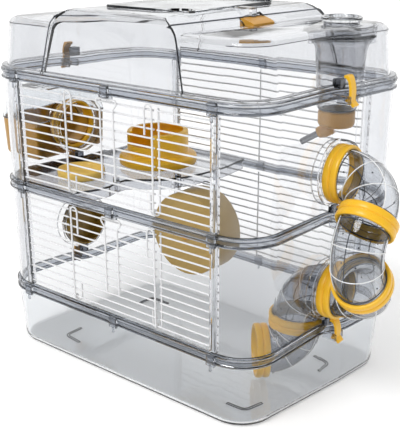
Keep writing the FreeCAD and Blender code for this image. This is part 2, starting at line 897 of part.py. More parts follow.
def bridge_block(shrink):
    """The raised band over the middle, running front to back a little askew."""
    base = level(2) + size("seat_gap") - (1 if shrink else 0)
    crease = level(2) + size("lid_crease")
    crown = crease + size("bridge_rise") - shrink
    foot = size("bridge_foot") - shrink
    half = size("bridge_half") - shrink
    flat = size("bridge_flat") - shrink / 2
    shoulder = size("bridge_shoulder")
    run = half - flat
    far = size("half_depth") + 40
    side = [
        (foot, base), (half, crown - shoulder), (half - 0.15 * run, crown - 0.6 * shoulder),
        (half - 0.4 * run, crown - 0.32 * shoulder), (half - 0.7 * run, crown - 0.1 * shoulder), (flat, crown),
    ]
    spots = [Vector(x, -far, z) for x, z in side] + [Vector(-x, -far, z) for x, z in reversed(side)]
    tunnel = Part.Face(Part.makePolygon(spots + spots[:1])).extrude(ACROSS * (2 * far))
    tunnel.rotate(Vector(0, 0, 0), UP, -size("bridge_skew"))
    inset = size("bridge_inset") + shrink
    walls = stacked([
        (inset, base),
        (inset + 4, crease + 3.2 - shrink),
        (inset + 8, crown - 4.8),
        (inset + 17, crown),
    ])
    return tunnel.common(walls)


def lid_crown():
    """Height of the bridge's flat top."""
    return level(2) + size("lid_crease") + size("bridge_rise")


def flange_z():
    """Height of the bottle's flange under the lid's roof."""
    return level(2) + size("bottle_flange_rise")


def foot_z():
    """Height of the bottle's narrow end."""
    return flange_z() - size("bottle_length")


def hatch_plate(grow, z, height):
    """The hatch's rounded rectangle."""
    half = size("hatch_half_x") + grow
    front = size("hatch_front_y") - grow
    back = size("hatch_hinge_y") + grow
    plate = Part.makeBox(2 * half, back - front, height, Vector(-half, front, z))
    uprights = [e for e in plate.Edges if abs(e.tangentAt(e.FirstParameter).z) > 0.9]
    return plate.makeChamfer(9 + grow * 0.6, uprights)


def hinge_lugs(z, inner):
    """Knuckles of the hatch's hinge: the hatch's two inside, the lid's beside them."""
    solid = None
    radius = size("knuckle_radius")
    length = size("knuckle_length")
    for side in (-1, 1):
        middle = side * size("hatch_half_x") * 0.55
        spans = [(middle - length / 2, length)]
        if not inner:
            gap = size("seat_gap")
            spans = [(middle - length / 2 - gap - 6, 6), (middle + length / 2 + gap, 6)]
        for start, run in spans:
            lug = Part.Face(ngon(PIN_SIDES, radius, Vector(start, size("hatch_hinge_y") + 4, z), ALONG, UP))
            lug = lug.extrude(ALONG * run)
            solid = lug if solid is None else solid.fuse(lug)
    return solid


def hinge_bore(radius, z):
    """The hole or pin along the hatch's hinge."""
    solid = None
    length = size("knuckle_length") + 12 + 2 * size("seat_gap")
    for side in (-1, 1):
        start = side * size("hatch_half_x") * 0.55 - length / 2
        rod = Part.makeCylinder(radius, length, Vector(start, size("hatch_hinge_y") + 4, z), ALONG)
        solid = rod if solid is None else solid.fuse(rod)
    return solid


def hinge_z():
    """Height of the hatch's hinge pin."""
    return lid_crown() + size("knuckle_radius") - 1.2


def make_lid():
    wall = size("lid_wall")
    base = level(2) + size("seat_gap")
    outer = stacked(lid_levels(0)).fuse(bridge_block(0))
    inner = stacked(lid_levels(wall)).fuse(bridge_block(wall))
    lid = outer.cut(inner)
    foot = band(size("rim_band_inset"), size("lid_inset") + wall, base, size("lid_foot"))
    block = keeper(base, size("lid_inset") + wall)
    lid = lid.fuse([foot, block, half_turn(block)])
    crown = lid_crown()
    lid = lid.cut(hatch_plate(-6, crown - 10, 20))
    lugs = hinge_lugs(hinge_z(), False)
    lid = lid.fuse(lugs).cut(hinge_bore(size("hinge_pin") + size("fit"), hinge_z()))
    radius = size("knuckle_radius") + size("seat_gap")
    for side in (-1, 1):
        length = size("knuckle_length") + 2 * size("seat_gap")
        start = side * size("hatch_half_x") * 0.55 - length / 2
        room = Part.makeCylinder(radius, length, Vector(start, size("hatch_hinge_y") + 4, hinge_z()), ALONG)
        lid = lid.cut(room)
    seat = Vector(size("bottle_x"), size("bottle_y"), 0)
    around = seat + UP * (flange_z() - 1)
    well = Part.Face(ngon(WELL_SIDES, size("bottle_flange") + 2.4, around + UP, UP, ACROSS))
    well = well.extrude(UP * (lid_levels(0)[-1][1] - flange_z())).common(stacked(lid_levels(0)))
    pocket = Part.Face(ngon(WELL_SIDES, size("bottle_flange") + size("seat_gap"), around, UP, ACROSS))
    lid = lid.fuse(well).cut(pocket.extrude(UP * 9.3))
    hole = Part.Face(ngon(WELL_SIDES, size("bottle_neck") + size("seat_gap"), around, UP, ACROSS))
    lid = lid.cut(hole.extrude(UP * 60))
    slot = latch_block(size("seat_gap"))
    lid = lid.cut(slot)
    slot.translate(ALONG * size("latch_travel"))
    lid = lid.cut(slot)
    return lid.removeSplitter()


def latch_block(grow):
    """The sliding latch's body on the bridge's right shoulder, with its top sloped outwards."""
    start = size("latch_out") - grow
    end = size("latch_out") + size("latch_wide") + grow
    top = lid_crown() - size("latch_drop") + grow
    low = lid_crown() - size("latch_foot") - grow
    y = size("latch_y") - size("latch_length") / 2 - grow
    side = [(start, low), (end, low), (end, top - 6), (end - 3, top - 4), (start + 6, top), (start, top)]
    face = Part.Face(Part.makePolygon([Vector(x, y, z) for x, z in side + side[:1]]))
    return face.extrude(ACROSS * (size("latch_length") + 2 * grow))


formed("lid", make_lid())


def make_hatch():
    crown = lid_crown()
    thick = size("hatch_thick")
    plate = hatch_plate(0, crown + size("seat_gap"), thick)
    grip = Part.Face(ngon(PIN_SIDES, 16, Vector(38, size("hatch_front_y") + 2, crown - 3), UP, ACROSS))
    plate = plate.cut(grip.extrude(UP * (thick + 6)))
    lugs = hinge_lugs(hinge_z(), True)
    arms = None
    for side in (-1, 1):
        middle = side * size("hatch_half_x") * 0.55
        arm = Part.makeBox(
            size("knuckle_length"), 10, thick,
            Vector(middle - size("knuckle_length") / 2, size("hatch_hinge_y") - 4, crown + size("seat_gap")),
        )
        arms = arm if arms is None else arms.fuse(arm)
    return plate.fuse(arms).fuse(lugs).fuse(hinge_bore(size("hinge_pin"), hinge_z())).removeSplitter()


formed("lid_hatch", make_hatch())


def make_latch():
    """Sliding latch whose tongue reaches to the hatch's edge."""
    body = latch_block(0)
    edge = size("hatch_half_x") + size("seat_gap")
    tongue = size("latch_tongue")
    reach = size("latch_out") + 6 - edge
    plate = Part.makeBox(
        reach, tongue, size("hatch_thick"),
        Vector(edge, size("latch_y") - tongue / 2, lid_crown() + size("seat_gap")),
    )
    riser = Part.makeBox(
        6, tongue, size("latch_drop") + size("seat_gap") + 1,
        Vector(size("latch_out"), size("latch_y") - tongue / 2, lid_crown() - size("latch_drop") - 1),
    )
    return body.fuse([plate, riser]).removeSplitter()


formed("hatch_latch", make_latch())


# Water bottle, hung upside down under the lid


TOP_RIM = "Dims.tub_rim_top + 2 * Dims.storey_pitch"
FLANGE = TOP_RIM + " + Dims.bottle_flange_rise"
FOOT = FLANGE + " - Dims.bottle_length"
BOTTLE_TOP = FLANGE + " + 8"
BOTTLE_INNER_TOP = FLANGE + " + 8 - Dims.bottle_wall"
NECK_TOP = TOP_RIM + " + Dims.lid_crease + 0.75 * Dims.lid_dome + Dims.neck_rise"
bottle = turned("bottle_body", [
    ("Dims.bottle_cap_radius - 2.5", FOOT + " - 12"),
    ("Dims.bottle_cap_radius - 2.5", FOOT),
    ("Dims.bottle_radius", FOOT + " + 4"),
    ("Dims.bottle_flare", FLANGE + " - 8"),
    ("Dims.bottle_flange", FLANGE + " + 1"),
    ("Dims.bottle_flange", BOTTLE_TOP),
    ("Dims.bottle_neck", BOTTLE_TOP),
    ("Dims.bottle_neck", NECK_TOP),
    ("Dims.bottle_neck - Dims.bottle_wall", NECK_TOP),
    ("Dims.bottle_neck - Dims.bottle_wall", BOTTLE_INNER_TOP),
    ("Dims.bottle_flare - Dims.bottle_wall", FLANGE + " - 7"),
    ("Dims.bottle_radius - Dims.bottle_wall", FOOT + " + 4"),
    ("Dims.bottle_cap_radius - 2.5 - Dims.bottle_wall", FOOT),
    ("Dims.bottle_cap_radius - 2.5 - Dims.bottle_wall", FOOT + " - 12"),
])
keep(placed(bottle, "Dims.bottle_x", "Dims.bottle_y"), "bottle_body")

refill = turned("refill_cap", [
    ("0", NECK_TOP + " + 0.3"),
    ("Dims.refill_radius", NECK_TOP + " + 0.3"),
    ("Dims.refill_radius", NECK_TOP + " + Dims.refill_height - 1.5"),
    ("Dims.refill_radius - 2", NECK_TOP + " + Dims.refill_height"),
    ("Dims.refill_radius - 4", NECK_TOP + " + Dims.refill_height"),
    ("Dims.refill_radius - 5", NECK_TOP + " + Dims.refill_height - 3"),
    ("0", NECK_TOP + " + Dims.refill_height - 3"),
])
keep(placed(refill, "Dims.bottle_x", "Dims.bottle_y"), "refill_cap")

CAP_TOP = FOOT + " - 0.3"
CAP_LOW = FOOT + " - 0.3 - Dims.bottle_cap_height"
cap_cup = turned("bottle_cap_cup", [
    ("0", CAP_LOW),
    ("Dims.bottle_cap_radius - 3", CAP_LOW),
    ("Dims.bottle_cap_radius", CAP_LOW + " + 3"),
    ("Dims.bottle_cap_radius", CAP_TOP + " - 1"),
    ("Dims.bottle_cap_radius - 1", CAP_TOP),
    ("Dims.bottle_cap_radius - 2.4", CAP_TOP),
    ("Dims.bottle_cap_radius - 2.4", FOOT + " - 12.2"),
    ("0", FOOT + " - 12.2"),
])
placed(cap_cup, "Dims.bottle_x", "Dims.bottle_y")
SPOUT_TURN = Rotation(UP, size("spout_turn")).multiply(Rotation(ACROSS, 90 + size("spout_tilt")))
spout_way = SPOUT_TURN.multVec(UP)
nozzle_root = Vector(size("bottle_x"), size("bottle_y"), foot_z() - size("bottle_cap_height") + 3)
nozzle = bound(
    "Part::Cone", "nozzle",
    Radius1="Dims.nozzle_radius", Radius2="Dims.nozzle_radius * 0.7", Height="Dims.nozzle_length",
)
nozzle.Placement = Placement(nozzle_root, SPOUT_TURN)
spout_hole = bound(
    "Part::Cylinder", "spout_hole",
    Radius="Dims.spout_radius + Dims.fit", Height="Dims.nozzle_length",
)
spout_hole.Placement = Placement(nozzle_root + spout_way * 8, SPOUT_TURN)
cap = carved("bottle_cap", joined("bottle_cap_body", cap_cup, nozzle), spout_hole)
keep(cap, "bottle_cap")

spout_start = nozzle_root + spout_way * 8.3
spout_skin = bound(
    "Part::Cylinder", "spout_skin", Radius="Dims.spout_radius", Height="Dims.spout_length",
)
spout_bore = bound(
    "Part::Cylinder", "spout_bore",
    Radius="Dims.spout_radius - Dims.spout_wall", Height="Dims.spout_length + 2",
)
spout_bore.Placement = Placement(Vector(0, 0, -1), Rotation())
spout = carved("bottle_spout", spout_skin, spout_bore)
spout.Placement = Placement(spout_start, SPOUT_TURN)
keep(spout, "bottle_spout")
ball_radius = size("spout_radius") - size("spout_wall") - size("fit") - 0.1
ball_at = spout_start + spout_way * (size("spout_length") - 2)
ball_levels = [math.radians(a) for a in (-60, -20, 20, 60)]
ball_rings = [
    ngon(8, ball_radius * math.cos(a), ball_at + spout_way * (ball_radius * math.sin(a)), spout_way, ACROSS)
    for a in ball_levels
]
formed("spout_ball", Part.makeLoft(ball_rings, True, True))


# Shelf at mid height, on the middle rim's ledge


def shelf_edge(inset):
    """The shelf's free edge across the cage, from the front wall to the back wall."""
    spots = [
        Vector(-79 - inset, -160, 0), Vector(-77 - inset, -112, 0), Vector(-63 - inset, -84, 0),
        Vector(-62 - inset, -66, 0), Vector(-66 - inset, -48, 0), Vector(-58 - inset, -34, 0),
        Vector(-40 - inset, -22, 0), Vector(-24 - inset, -2, 0), Vector(-12 - inset, 32, 0),
        Vector(-9 - inset, 60, 0), Vector(-8 - inset, 160, 0),
    ]
    curve = Part.BSplineCurve()
    curve.interpolate(spots)
    return Part.makePolygon(curve.discretize(26)), spots


def shelf_region(inset, low, height):
    """Everything to the left of the shelf's free edge."""
    edge, spots = shelf_edge(inset)
    far = 300
    closing = Part.makePolygon([
        spots[-1], Vector(-far, spots[-1].y, 0), Vector(-far, spots[0].y, 0), spots[0],
    ])
    face = Part.Face(Part.Wire(edge.Edges + closing.Edges))
    face.translate(Vector(0, 0, low))
    return face.extrude(Vector(0, 0, height))


def make_shelf():
    top = level(1)
    thick = size("shelf_thick")
    skirt = size("shelf_skirt")
    inset = size("shelf_inset")
    plate = slab(inset, top - thick, thick).common(shelf_region(0, top - thick - 1, thick + 2))
    inner_inset = size("rim_inside") + size("ledge_depth") + 1
    wall = slab(inner_inset, top - skirt, skirt).common(shelf_region(0, top - skirt, skirt))
    wall = wall.cut(shelf_region(size("shelf_thick"), top - skirt - 1, skirt + 2))
    shelf = plate.fuse(wall)
    for x, y in ((-67, -50), (-23, 6)):
        stud = Part.Face(ngon(PIN_SIDES, 3.4, Vector(x - 3.5, y, top - skirt), UP, ACROSS)).extrude(UP * (skirt + 4))
        shelf = shelf.fuse(stud)
    for x, y, long, turn in ((-172, -86, 22, 50), (-172, -52, 18, 80), (-166, 0, 22, 100), (-158, 44, 22, 90)):
        slot = Part.makeBox(long, 4, 10, Vector(-long / 2, -2, top - 6))
        slot.rotate(Vector(0, 0, 0), UP, turn)
        slot.translate(Vector(x, y, 0))
        shelf = shelf.cut(slot)
    return shelf.removeSplitter()


formed("shelf", make_shelf())


# Loose things on the shelf


SHELF_TOP = "Dims.tub_rim_top + Dims.storey_pitch"
bowl = turned("food_bowl", [
    ("0", "0"),
    ("Dims.bowl_radius - 3", "0"),
    ("Dims.bowl_radius", "3"),
    ("Dims.bowl_radius", "Dims.bowl_height - 2"),
    ("Dims.bowl_radius - 1.5", "Dims.bowl_height"),
    ("Dims.bowl_radius - Dims.bowl_wall - 1", "Dims.bowl_height - 1"),
    ("Dims.bowl_radius - Dims.bowl_wall - 5", "Dims.bowl_wall + 1"),
    ("0", "Dims.bowl_wall"),
])
keep(placed(bowl, "Dims.bowl_x", "Dims.bowl_y", SHELF_TOP), "food_bowl")

toilet = turned("toilet_tub", [
    ("0", "0"),
    ("Dims.toilet_radius", "0"),
    ("Dims.toilet_flange - 2", "0"),
    ("Dims.toilet_flange", "2"),
    ("Dims.toilet_flange", "8"),
    ("Dims.toilet_flange - 3", "11"),
    ("Dims.toilet_radius", "12"),
    ("Dims.toilet_radius", "Dims.toilet_height - 2"),
    ("Dims.toilet_radius - 2", "Dims.toilet_height"),
    ("Dims.toilet_radius - 6", "Dims.toilet_height"),
    ("Dims.toilet_radius - 6", "Dims.toilet_height - Dims.toilet_wall"),
    ("Dims.toilet_radius - Dims.toilet_wall", "Dims.toilet_height - Dims.toilet_wall"),
    ("Dims.toilet_radius - Dims.toilet_wall", "Dims.toilet_wall"),
    ("0", "Dims.toilet_wall"),
])
placed(toilet, "Dims.toilet_x", "Dims.toilet_y", SHELF_TOP)
doorway = placed(
    bound("Part::Box", "toilet_way", Length="34", Width="Dims.toilet_flange + 5", Height="Dims.toilet_height"),
    "Dims.toilet_x - 17", "Dims.toilet_y - Dims.toilet_flange - 5",
    SHELF_TOP + " + 0.62 * Dims.toilet_height",
)
keep(carved("toilet", toilet, doorway), "toilet")


# Exercise wheel on its axle


wheel = turned("wheel_drum", [
    ("Dims.axle_radius + Dims.fit", "0"),
    ("Dims.wheel_hub + 3", "0"),
    ("Dims.wheel_radius - 2", "0"),
    ("Dims.wheel_radius", "2"),
    ("Dims.wheel_radius", "Dims.wheel_depth"),
    ("Dims.wheel_radius - Dims.wheel_wall", "Dims.wheel_depth"),
    ("Dims.wheel_radius - Dims.wheel_wall", "Dims.wheel_wall"),
    ("Dims.wheel_hub", "Dims.wheel_wall"),
    ("Dims.wheel_hub", "12"),
    ("Dims.axle_radius + Dims.fit", "12"),
])
BACKWARD = Rotation(ALONG, -90)
WHEEL_Z = SHELF_TOP + " - Dims.wheel_drop"
keep(placed(wheel, "Dims.wheel_x", "Dims.wheel_y", WHEEL_Z, BACKWARD), "wheel")

axle = bound(
    "Part::Cylinder", "axle_rod", Radius="Dims.axle_radius", Height="Dims.wheel_depth + 2",
)
placed(axle, z="0.5")
axle_head = placed(bound(
    "Part::Cylinder", "axle_head", Radius="Dims.wheel_hub - 1", Height="2",
), z="-2.3")
axle_neck = placed(bound(
    "Part::Cylinder", "axle_neck", Radius="Dims.axle_radius", Height="3",
), z="-2.3")
axle_whole = joined("wheel_axle", axle, axle_head, axle_neck)
keep(placed(axle_whole, "Dims.wheel_x", "Dims.wheel_y", WHEEL_Z, BACKWARD), "wheel_axle")

# The hanger comes down from the shelf behind the wheel and takes the axle's end.
hanger = placed(
    bound(
        "Part::Box", "hanger_plate", Length="Dims.bracket_width", Width="Dims.bracket_thick",
        Height="Dims.wheel_drop - Dims.shelf_skirt + Dims.bracket_width / 2",
    ),
    "Dims.wheel_x - Dims.bracket_width / 2",
    "Dims.wheel_y + Dims.wheel_depth + 2.5",
    WHEEL_Z + " - Dims.bracket_width / 2",
)
keep(hanger, "wheel_hanger")


# Nest house outside the upper left port


def house_ring(inset, z):
    """The house's rounded rectangle at height z."""
    near = size("house_near_x") - inset
    far = size("house_near_x") - size("house_length") + inset
    front = size("house_front_y") + inset
    back = size("house_front_y") + size("house_depth") - inset
    radius = max(size("house_corner") - inset, 2)
    spots = []
    corners = ((near, back, 0), (far, back, 90), (far, front, 180), (near, front, 270))
    for x, y, start in corners:
        centre = Vector(x - math.copysign(radius, x - (near + far) / 2), y - math.copysign(radius, y), z)
        for k in range(6):
            angle = math.radians(start + 18 * k)
            spots.append(centre + Vector(radius * math.cos(angle), radius * math.sin(angle), 0))
    return Part.makePolygon(spots + spots[:1])


def house_port(radius):
    """The round way in from the port's ring."""
    centre = Vector(-size("port_plane_x") + 10, -size("port_y"), level(1) + size("port_height"))
    return Part.makeCylinder(radius, 40, centre, Vector(-1, 0, 0))


def make_house_base():
    low = (level(1) - size("house_floor_drop"))
    top = low + size("house_base_height")
    wall = size("house_wall")
    outer = Part.makeLoft(
        [house_ring(6, low), house_ring(2, low + 5), house_ring(0, top)], True, True,
    )
    inner = Part.makeLoft(
        [house_ring(6 + wall, low + wall), house_ring(2 + wall, low + 6), house_ring(wall, top + 1)], True, True,
    )
    base = outer.cut(inner)
    centre_z = level(1) + size("port_height")
    neck = Part.makeCylinder(
        size("tube_radius"), abs(size("house_near_x")) - size("port_plane_x") + 4 + 2,
        Vector(size("house_near_x") - 4, -size("port_y"), centre_z), ALONG,
    )
    below = Part.makeBox(60, 200, 100, Vector(size("house_near_x") - 30, -100, top - 100))
    base = base.fuse(neck.common(below).cut(inner))
    return base.cut(house_port(size("tube_radius") - size("tube_wall"))).removeSplitter()


def make_house_roof():
    low = (level(1) - size("house_floor_drop")) + size("house_base_height") + size("seat_gap")
    top = low + size("house_roof_height")
    wall = size("house_wall")
    draft = size("house_roof_draft")
    outer = Part.makeLoft([
        house_ring(-1, low), house_ring(draft * 0.7, top - 9), house_ring(draft + 5, top),
    ], True, True)
    inner = Part.makeLoft([
        house_ring(-1 + wall, low - 1), house_ring(draft * 0.7 + wall, top - 9 - wall),
        house_ring(draft + 5 + wall, top - wall),
    ], True, True)
    roof = outer.cut(inner)
    port = house_port(size("tube_radius") + size("seat_gap"))
    return roof.cut(port).removeSplitter()


formed("house_base", make_house_base())
formed("house_roof", make_house_roof())


# Plug in the lower left port


plug_disc = turned("plug_disc", [
    ("0", "0"),
    ("Dims.plug_flange", "0"),
    ("Dims.plug_flange", "Dims.plug_flange_thick"),
    ("Dims.port_hole_radius - 0.3", "Dims.plug_flange_thick"),
    ("Dims.port_hole_radius - 0.3", "Dims.plug_flange_thick + Dims.plug_depth"),
    ("Dims.port_hole_radius - 2.3", "Dims.plug_flange_thick + Dims.plug_depth"),
    ("Dims.port_hole_radius - 2.3", "Dims.plug_flange_thick"),
    ("0", "Dims.plug_flange_thick"),
])
plug_grip = placed(
    bound(
        "Part::Box", "plug_grip", Length="Dims.plug_grip_width", Width="Dims.plug_flange * 1.6",
        Height="Dims.plug_grip_height",
    ),
    "-Dims.plug_grip_width / 2", "-Dims.plug_flange * 0.8", "-Dims.plug_grip_height + 0.5",
)
plug = joined("port_plug", plug_disc, plug_grip)
INWARD = Rotation(ACROSS, 90)
keep(placed(
    plug,
    "-(Dims.port_plane_x - Dims.ring_bead - Dims.ring_groove / 2) - Dims.plug_flange_thick - Dims.seat_gap",
    "-Dims.port_y", "Dims.tub_rim_top + Dims.port_height", INWARD,
), "port_plug")


# Checks and files

doc.recompute()
for item in doc.Objects:
    for word in ("Invalid", "Error"):
        if word in item.State:
            raise RuntimeError("%s: %s" % (item.Label, item.State))
os.makedirs("parts", exist_ok=True)
for item in pieces:
    if item.Shape.isNull() or not item.Shape.isValid():
        raise RuntimeError("%s has no valid shape" % item.Label)
    item.Shape.exportStep("parts/%s.step" % item.Label)
print(len(pieces), "pieces")
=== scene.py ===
# %% [markdown]
# # A two-storey cage for small animals
# The cage is a clear plastic tub, two storeys of end panels and wire walls, and a domed lid.
# Yellow rings and clear elbows make a tube run at one end, and a nest house hangs at the other.
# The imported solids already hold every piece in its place, in metres. This lesson dresses them:
# pieces whose solid is good get a finish, and round or soft-edged ones are built again, smoother.

import json
import math

import bmesh
import bpy
from mathutils import Matrix, Vector


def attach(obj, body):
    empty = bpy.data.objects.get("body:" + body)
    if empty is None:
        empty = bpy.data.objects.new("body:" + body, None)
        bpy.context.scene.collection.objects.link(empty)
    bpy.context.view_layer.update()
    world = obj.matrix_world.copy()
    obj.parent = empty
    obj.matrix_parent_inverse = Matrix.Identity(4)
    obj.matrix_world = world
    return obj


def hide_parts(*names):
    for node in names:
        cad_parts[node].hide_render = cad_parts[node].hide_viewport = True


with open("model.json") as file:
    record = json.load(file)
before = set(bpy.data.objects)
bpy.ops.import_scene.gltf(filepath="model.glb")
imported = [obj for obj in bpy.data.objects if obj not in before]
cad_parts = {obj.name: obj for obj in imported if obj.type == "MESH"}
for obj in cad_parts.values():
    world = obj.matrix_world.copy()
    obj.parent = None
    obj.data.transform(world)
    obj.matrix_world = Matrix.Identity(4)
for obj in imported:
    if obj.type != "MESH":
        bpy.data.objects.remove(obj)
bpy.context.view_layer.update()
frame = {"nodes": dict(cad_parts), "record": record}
nodes = frame["nodes"]
scene = bpy.context.scene

# %% [markdown]
# ## Camera
# The camera's place was solved from the photograph's rim lines and tub edges, which fixes every size
# at once; a place found by eye would always leave some edge a little off. A long lens keeps the upright
# edges nearly parallel, as there. Standard colours keep the white of the paper white.

# %% Camera
CAMERA_TURN, CAMERA_DIP = 38.28, 19.66
camera_data = bpy.data.cameras.new("camera")
camera_data.lens = 68.2
camera = bpy.data.objects.new("camera", camera_data)
scene.collection.objects.link(camera)
camera.location = (0.5522, -0.6865, 0.4771)
camera.rotation_euler = (math.radians(90 - CAMERA_DIP), 0, math.radians(CAMERA_TURN))
scene.camera = camera
scene.view_settings.view_transform = "Standard"
print("camera at", tuple(round(v, 3) for v in camera.location))

# %% [markdown]
# ## Small helpers for materials
# Colours are written as sRGB hex values, as a paint card gives them, and one function turns them
# linear. The others add a shader node with its settings and links in one call. Nodes could be wired
# one line at a time; with these helpers, a material reads from top to bottom like a recipe.

# %% Colour and node helpers
def linear(hex_text, alpha=1.0):
    """An sRGB hex colour as the linear numbers that shaders want."""
    out = []
    for i in (1, 3, 5):
        c = int(hex_text[i : i + 2], 16) / 255
        out.append(c / 12.92 if c <= 0.04045 else ((c + 0.055) / 1.055) ** 2.4)
    return (*out, alpha)


def add_node(tree, kind, inputs=None, **settings):
    """Adds a node; an input is a plain value, or a socket to link from."""
    made = tree.nodes.new(kind)
    for name, value in settings.items():
        setattr(made, name, value)
    for name, value in (inputs or {}).items():
        if isinstance(value, bpy.types.NodeSocket):
            tree.links.new(value, made.inputs[name])
        else:
            made.inputs[name].default_value = value
    return made


def new_material(name):
    """An empty node material with its output node."""
    material = bpy.data.materials.new(name)
    material.use_nodes = True
    tree = material.node_tree
    tree.nodes.clear()
    return material, tree, add_node(tree, "ShaderNodeOutputMaterial")


def number(tree, operation, first, second):
    """The output of a Math node."""
    return add_node(tree, "ShaderNodeMath", {0: first, 1: second}, operation=operation).outputs[0]


print("pure white is", linear("#FFFFFF"))

# %% [markdown]
# ## The studio around the cage
# A photographer lights clear plastic with a white surround and black cards beside the camera. One
# plain white world could stand for the surround, but then clear plastic would have no edges at all.
# So what is seen straight is white, and rays that a clear wall bends or mirrors find a darker room
# behind the camera. Light that has already left a matt surface finds a plain, even room instead, so
# that what stands inside the cage stays bright.

# %% World
ROOM_DARK, ROOM_DIFFUSE = 0.10, 0.66
world = bpy.data.worlds.new("studio")
scene.world = world
world.use_nodes = True
sky = world.node_tree
sky.nodes.clear()
path = add_node(sky, "ShaderNodeLightPath")
place = add_node(sky, "ShaderNodeTexCoord")
turn = math.radians(CAMERA_TURN)
away = Vector((-math.sin(turn), math.cos(turn), 0.15)).normalized()
facing = add_node(sky, "ShaderNodeVectorMath", {0: place.outputs["Generated"], 1: away},
                  operation="DOT_PRODUCT")
room = add_node(sky, "ShaderNodeMapRange", {
    "Value": facing.outputs["Value"], "From Min": -0.35, "From Max": 0.55,
    "To Min": ROOM_DARK, "To Max": 1.0}, interpolation_type="SMOOTHSTEP")
first = number(sky, "LESS_THAN", path.outputs["Diffuse Depth"], 0.5)
either = number(sky, "MAXIMUM", path.outputs["Is Glossy Ray"], path.outputs["Is Transmission Ray"])
bent = number(sky, "MULTIPLY", either, first)
soft = add_node(sky, "ShaderNodeMix", {0: bent, 2: ROOM_DIFFUSE, 3: room.outputs[0]})
strength = add_node(sky, "ShaderNodeMix", {0: path.outputs["Is Camera Ray"], 2: soft.outputs[0], 3: 1.0})
light = add_node(sky, "ShaderNodeBackground", {"Color": linear("#FFFFFF"), "Strength": strength.outputs[0]})
add_node(sky, "ShaderNodeOutputWorld", {"Surface": light.outputs[0]})
print("the room's dark side:", ROOM_DARK)

# %% [markdown]
# ## Soft sun and white paper
# One soft sun gives the cage its shadow. A sun has no falloff, unlike a lamp, so the floor stays even
# far behind the cage. The floor is a sheet of white paper. A very strong light could burn it out to
# white, but it would wash out the plastics too, so the paper gets a faint glow of its own, only where
# it is looked at, straight or through clear plastic. The glow sends no light to matt surfaces.

# %% Sun and floor
FLOOR_HALF, FLOOR_LIFT = 14, 0.26
sun_data = bpy.data.lights.new("soft_sun", "SUN")
sun_data.energy = 1.35
sun_data.angle = math.radians(28)
sun = bpy.data.objects.new("soft_sun", sun_data)
sun.rotation_euler = (math.radians(38), math.radians(-14), math.radians(8))
scene.collection.objects.link(sun)

floor_mesh = bpy.data.meshes.new("floor")
corners = [(x * FLOOR_HALF, y * FLOOR_HALF, 0) for x, y in ((-1, -1), (1, -1), (1, 1), (-1, 1))]
floor_mesh.from_pydata(corners, [], [(0, 1, 2, 3)])
floor = bpy.data.objects.new("floor", floor_mesh)
scene.collection.objects.link(floor)
floor.location.z = -0.0004
paper, tree, out = new_material("white studio paper")
shade = add_node(tree, "ShaderNodeBsdfPrincipled",
                 {"Base Color": linear("#FAFAFA"), "Roughness": 0.9, "Specular IOR Level": 0.1})
seen = add_node(tree, "ShaderNodeLightPath")
straight = number(tree, "MAXIMUM", seen.outputs["Is Camera Ray"], seen.outputs["Is Glossy Ray"])
through = number(tree, "MAXIMUM", straight, seen.outputs["Is Transmission Ray"])
lift = number(tree, "MULTIPLY", through, FLOOR_LIFT)
glow = add_node(tree, "ShaderNodeEmission", {"Color": linear("#FFFFFF"), "Strength": lift})
both = add_node(tree, "ShaderNodeAddShader", {0: shade.outputs[0], 1: glow.outputs[0]})
tree.links.new(both.outputs[0], out.inputs["Surface"])
floor_mesh.materials.append(paper)
print("floor", 2 * FLOOR_HALF, "metres wide, sun energy", round(sun_data.energy, 2))

# %% [markdown]
# ## Clear and tinted styrene
# The tub, rims, panels, elbows and lid are injection-moulded crystal polystyrene: water-clear, glossy,
# and with slow waves in its skin where the melt flowed. Real styrene has an IOR of 1.59; a little less
# is drawn, so that thin walls stay clear. The shelf and the two inner elbows have a smoky tint. A faint
# bump with waves of 18 to 30 mm bends what is seen through the wall. The elbows and the bottle get
# painted shade: their colour turns darker where their wall is seen edge-on. A mix with a transparent
# shader would be quicker, but only a wall that really bends light shows styrene's bright and dark lines.

# %% Clear plastics
DRAWN_IOR = 1.45


def clear_plastic(name, tint, roughness, wave_mm, wave_depth, edge=None):
    """Clear styrene; `edge` is a colour of painted shade where the wall is seen edge-on."""
    material, tree, out = new_material(name)
    place = add_node(tree, "ShaderNodeTexCoord")
    wave = add_node(tree, "ShaderNodeTexNoise",
                    {"Vector": place.outputs["Object"], "Scale": 1000 / wave_mm, "Detail": 1.5})
    bump = add_node(tree, "ShaderNodeBump",
                    {"Height": wave.outputs["Fac"], "Strength": wave_depth, "Distance": 0.002})
    shade = add_node(tree, "ShaderNodeBsdfPrincipled", {
        "Base Color": linear(tint), "Roughness": roughness, "IOR": DRAWN_IOR, "Transmission Weight": 1.0,
        "Normal": bump.outputs["Normal"],
    })
    if edge:
        # Painted shade: the colour darkens towards `edge` where the wall is seen edge-on.
        slant = add_node(tree, "ShaderNodeLayerWeight", {"Blend": 0.5})
        edge_on_shade = add_node(tree, "ShaderNodeMapRange",
                         {"Value": slant.outputs["Facing"], "From Min": 0.48, "From Max": 0.86})
        colour = add_node(tree, "ShaderNodeMix",
                          {"Factor": edge_on_shade.outputs[0], 6: linear(tint), 7: linear(edge)}, data_type="RGBA")
        tree.links.new(colour.outputs[2], shade.inputs["Base Color"])
    tree.links.new(shade.outputs[0], out.inputs["Surface"])
    return material


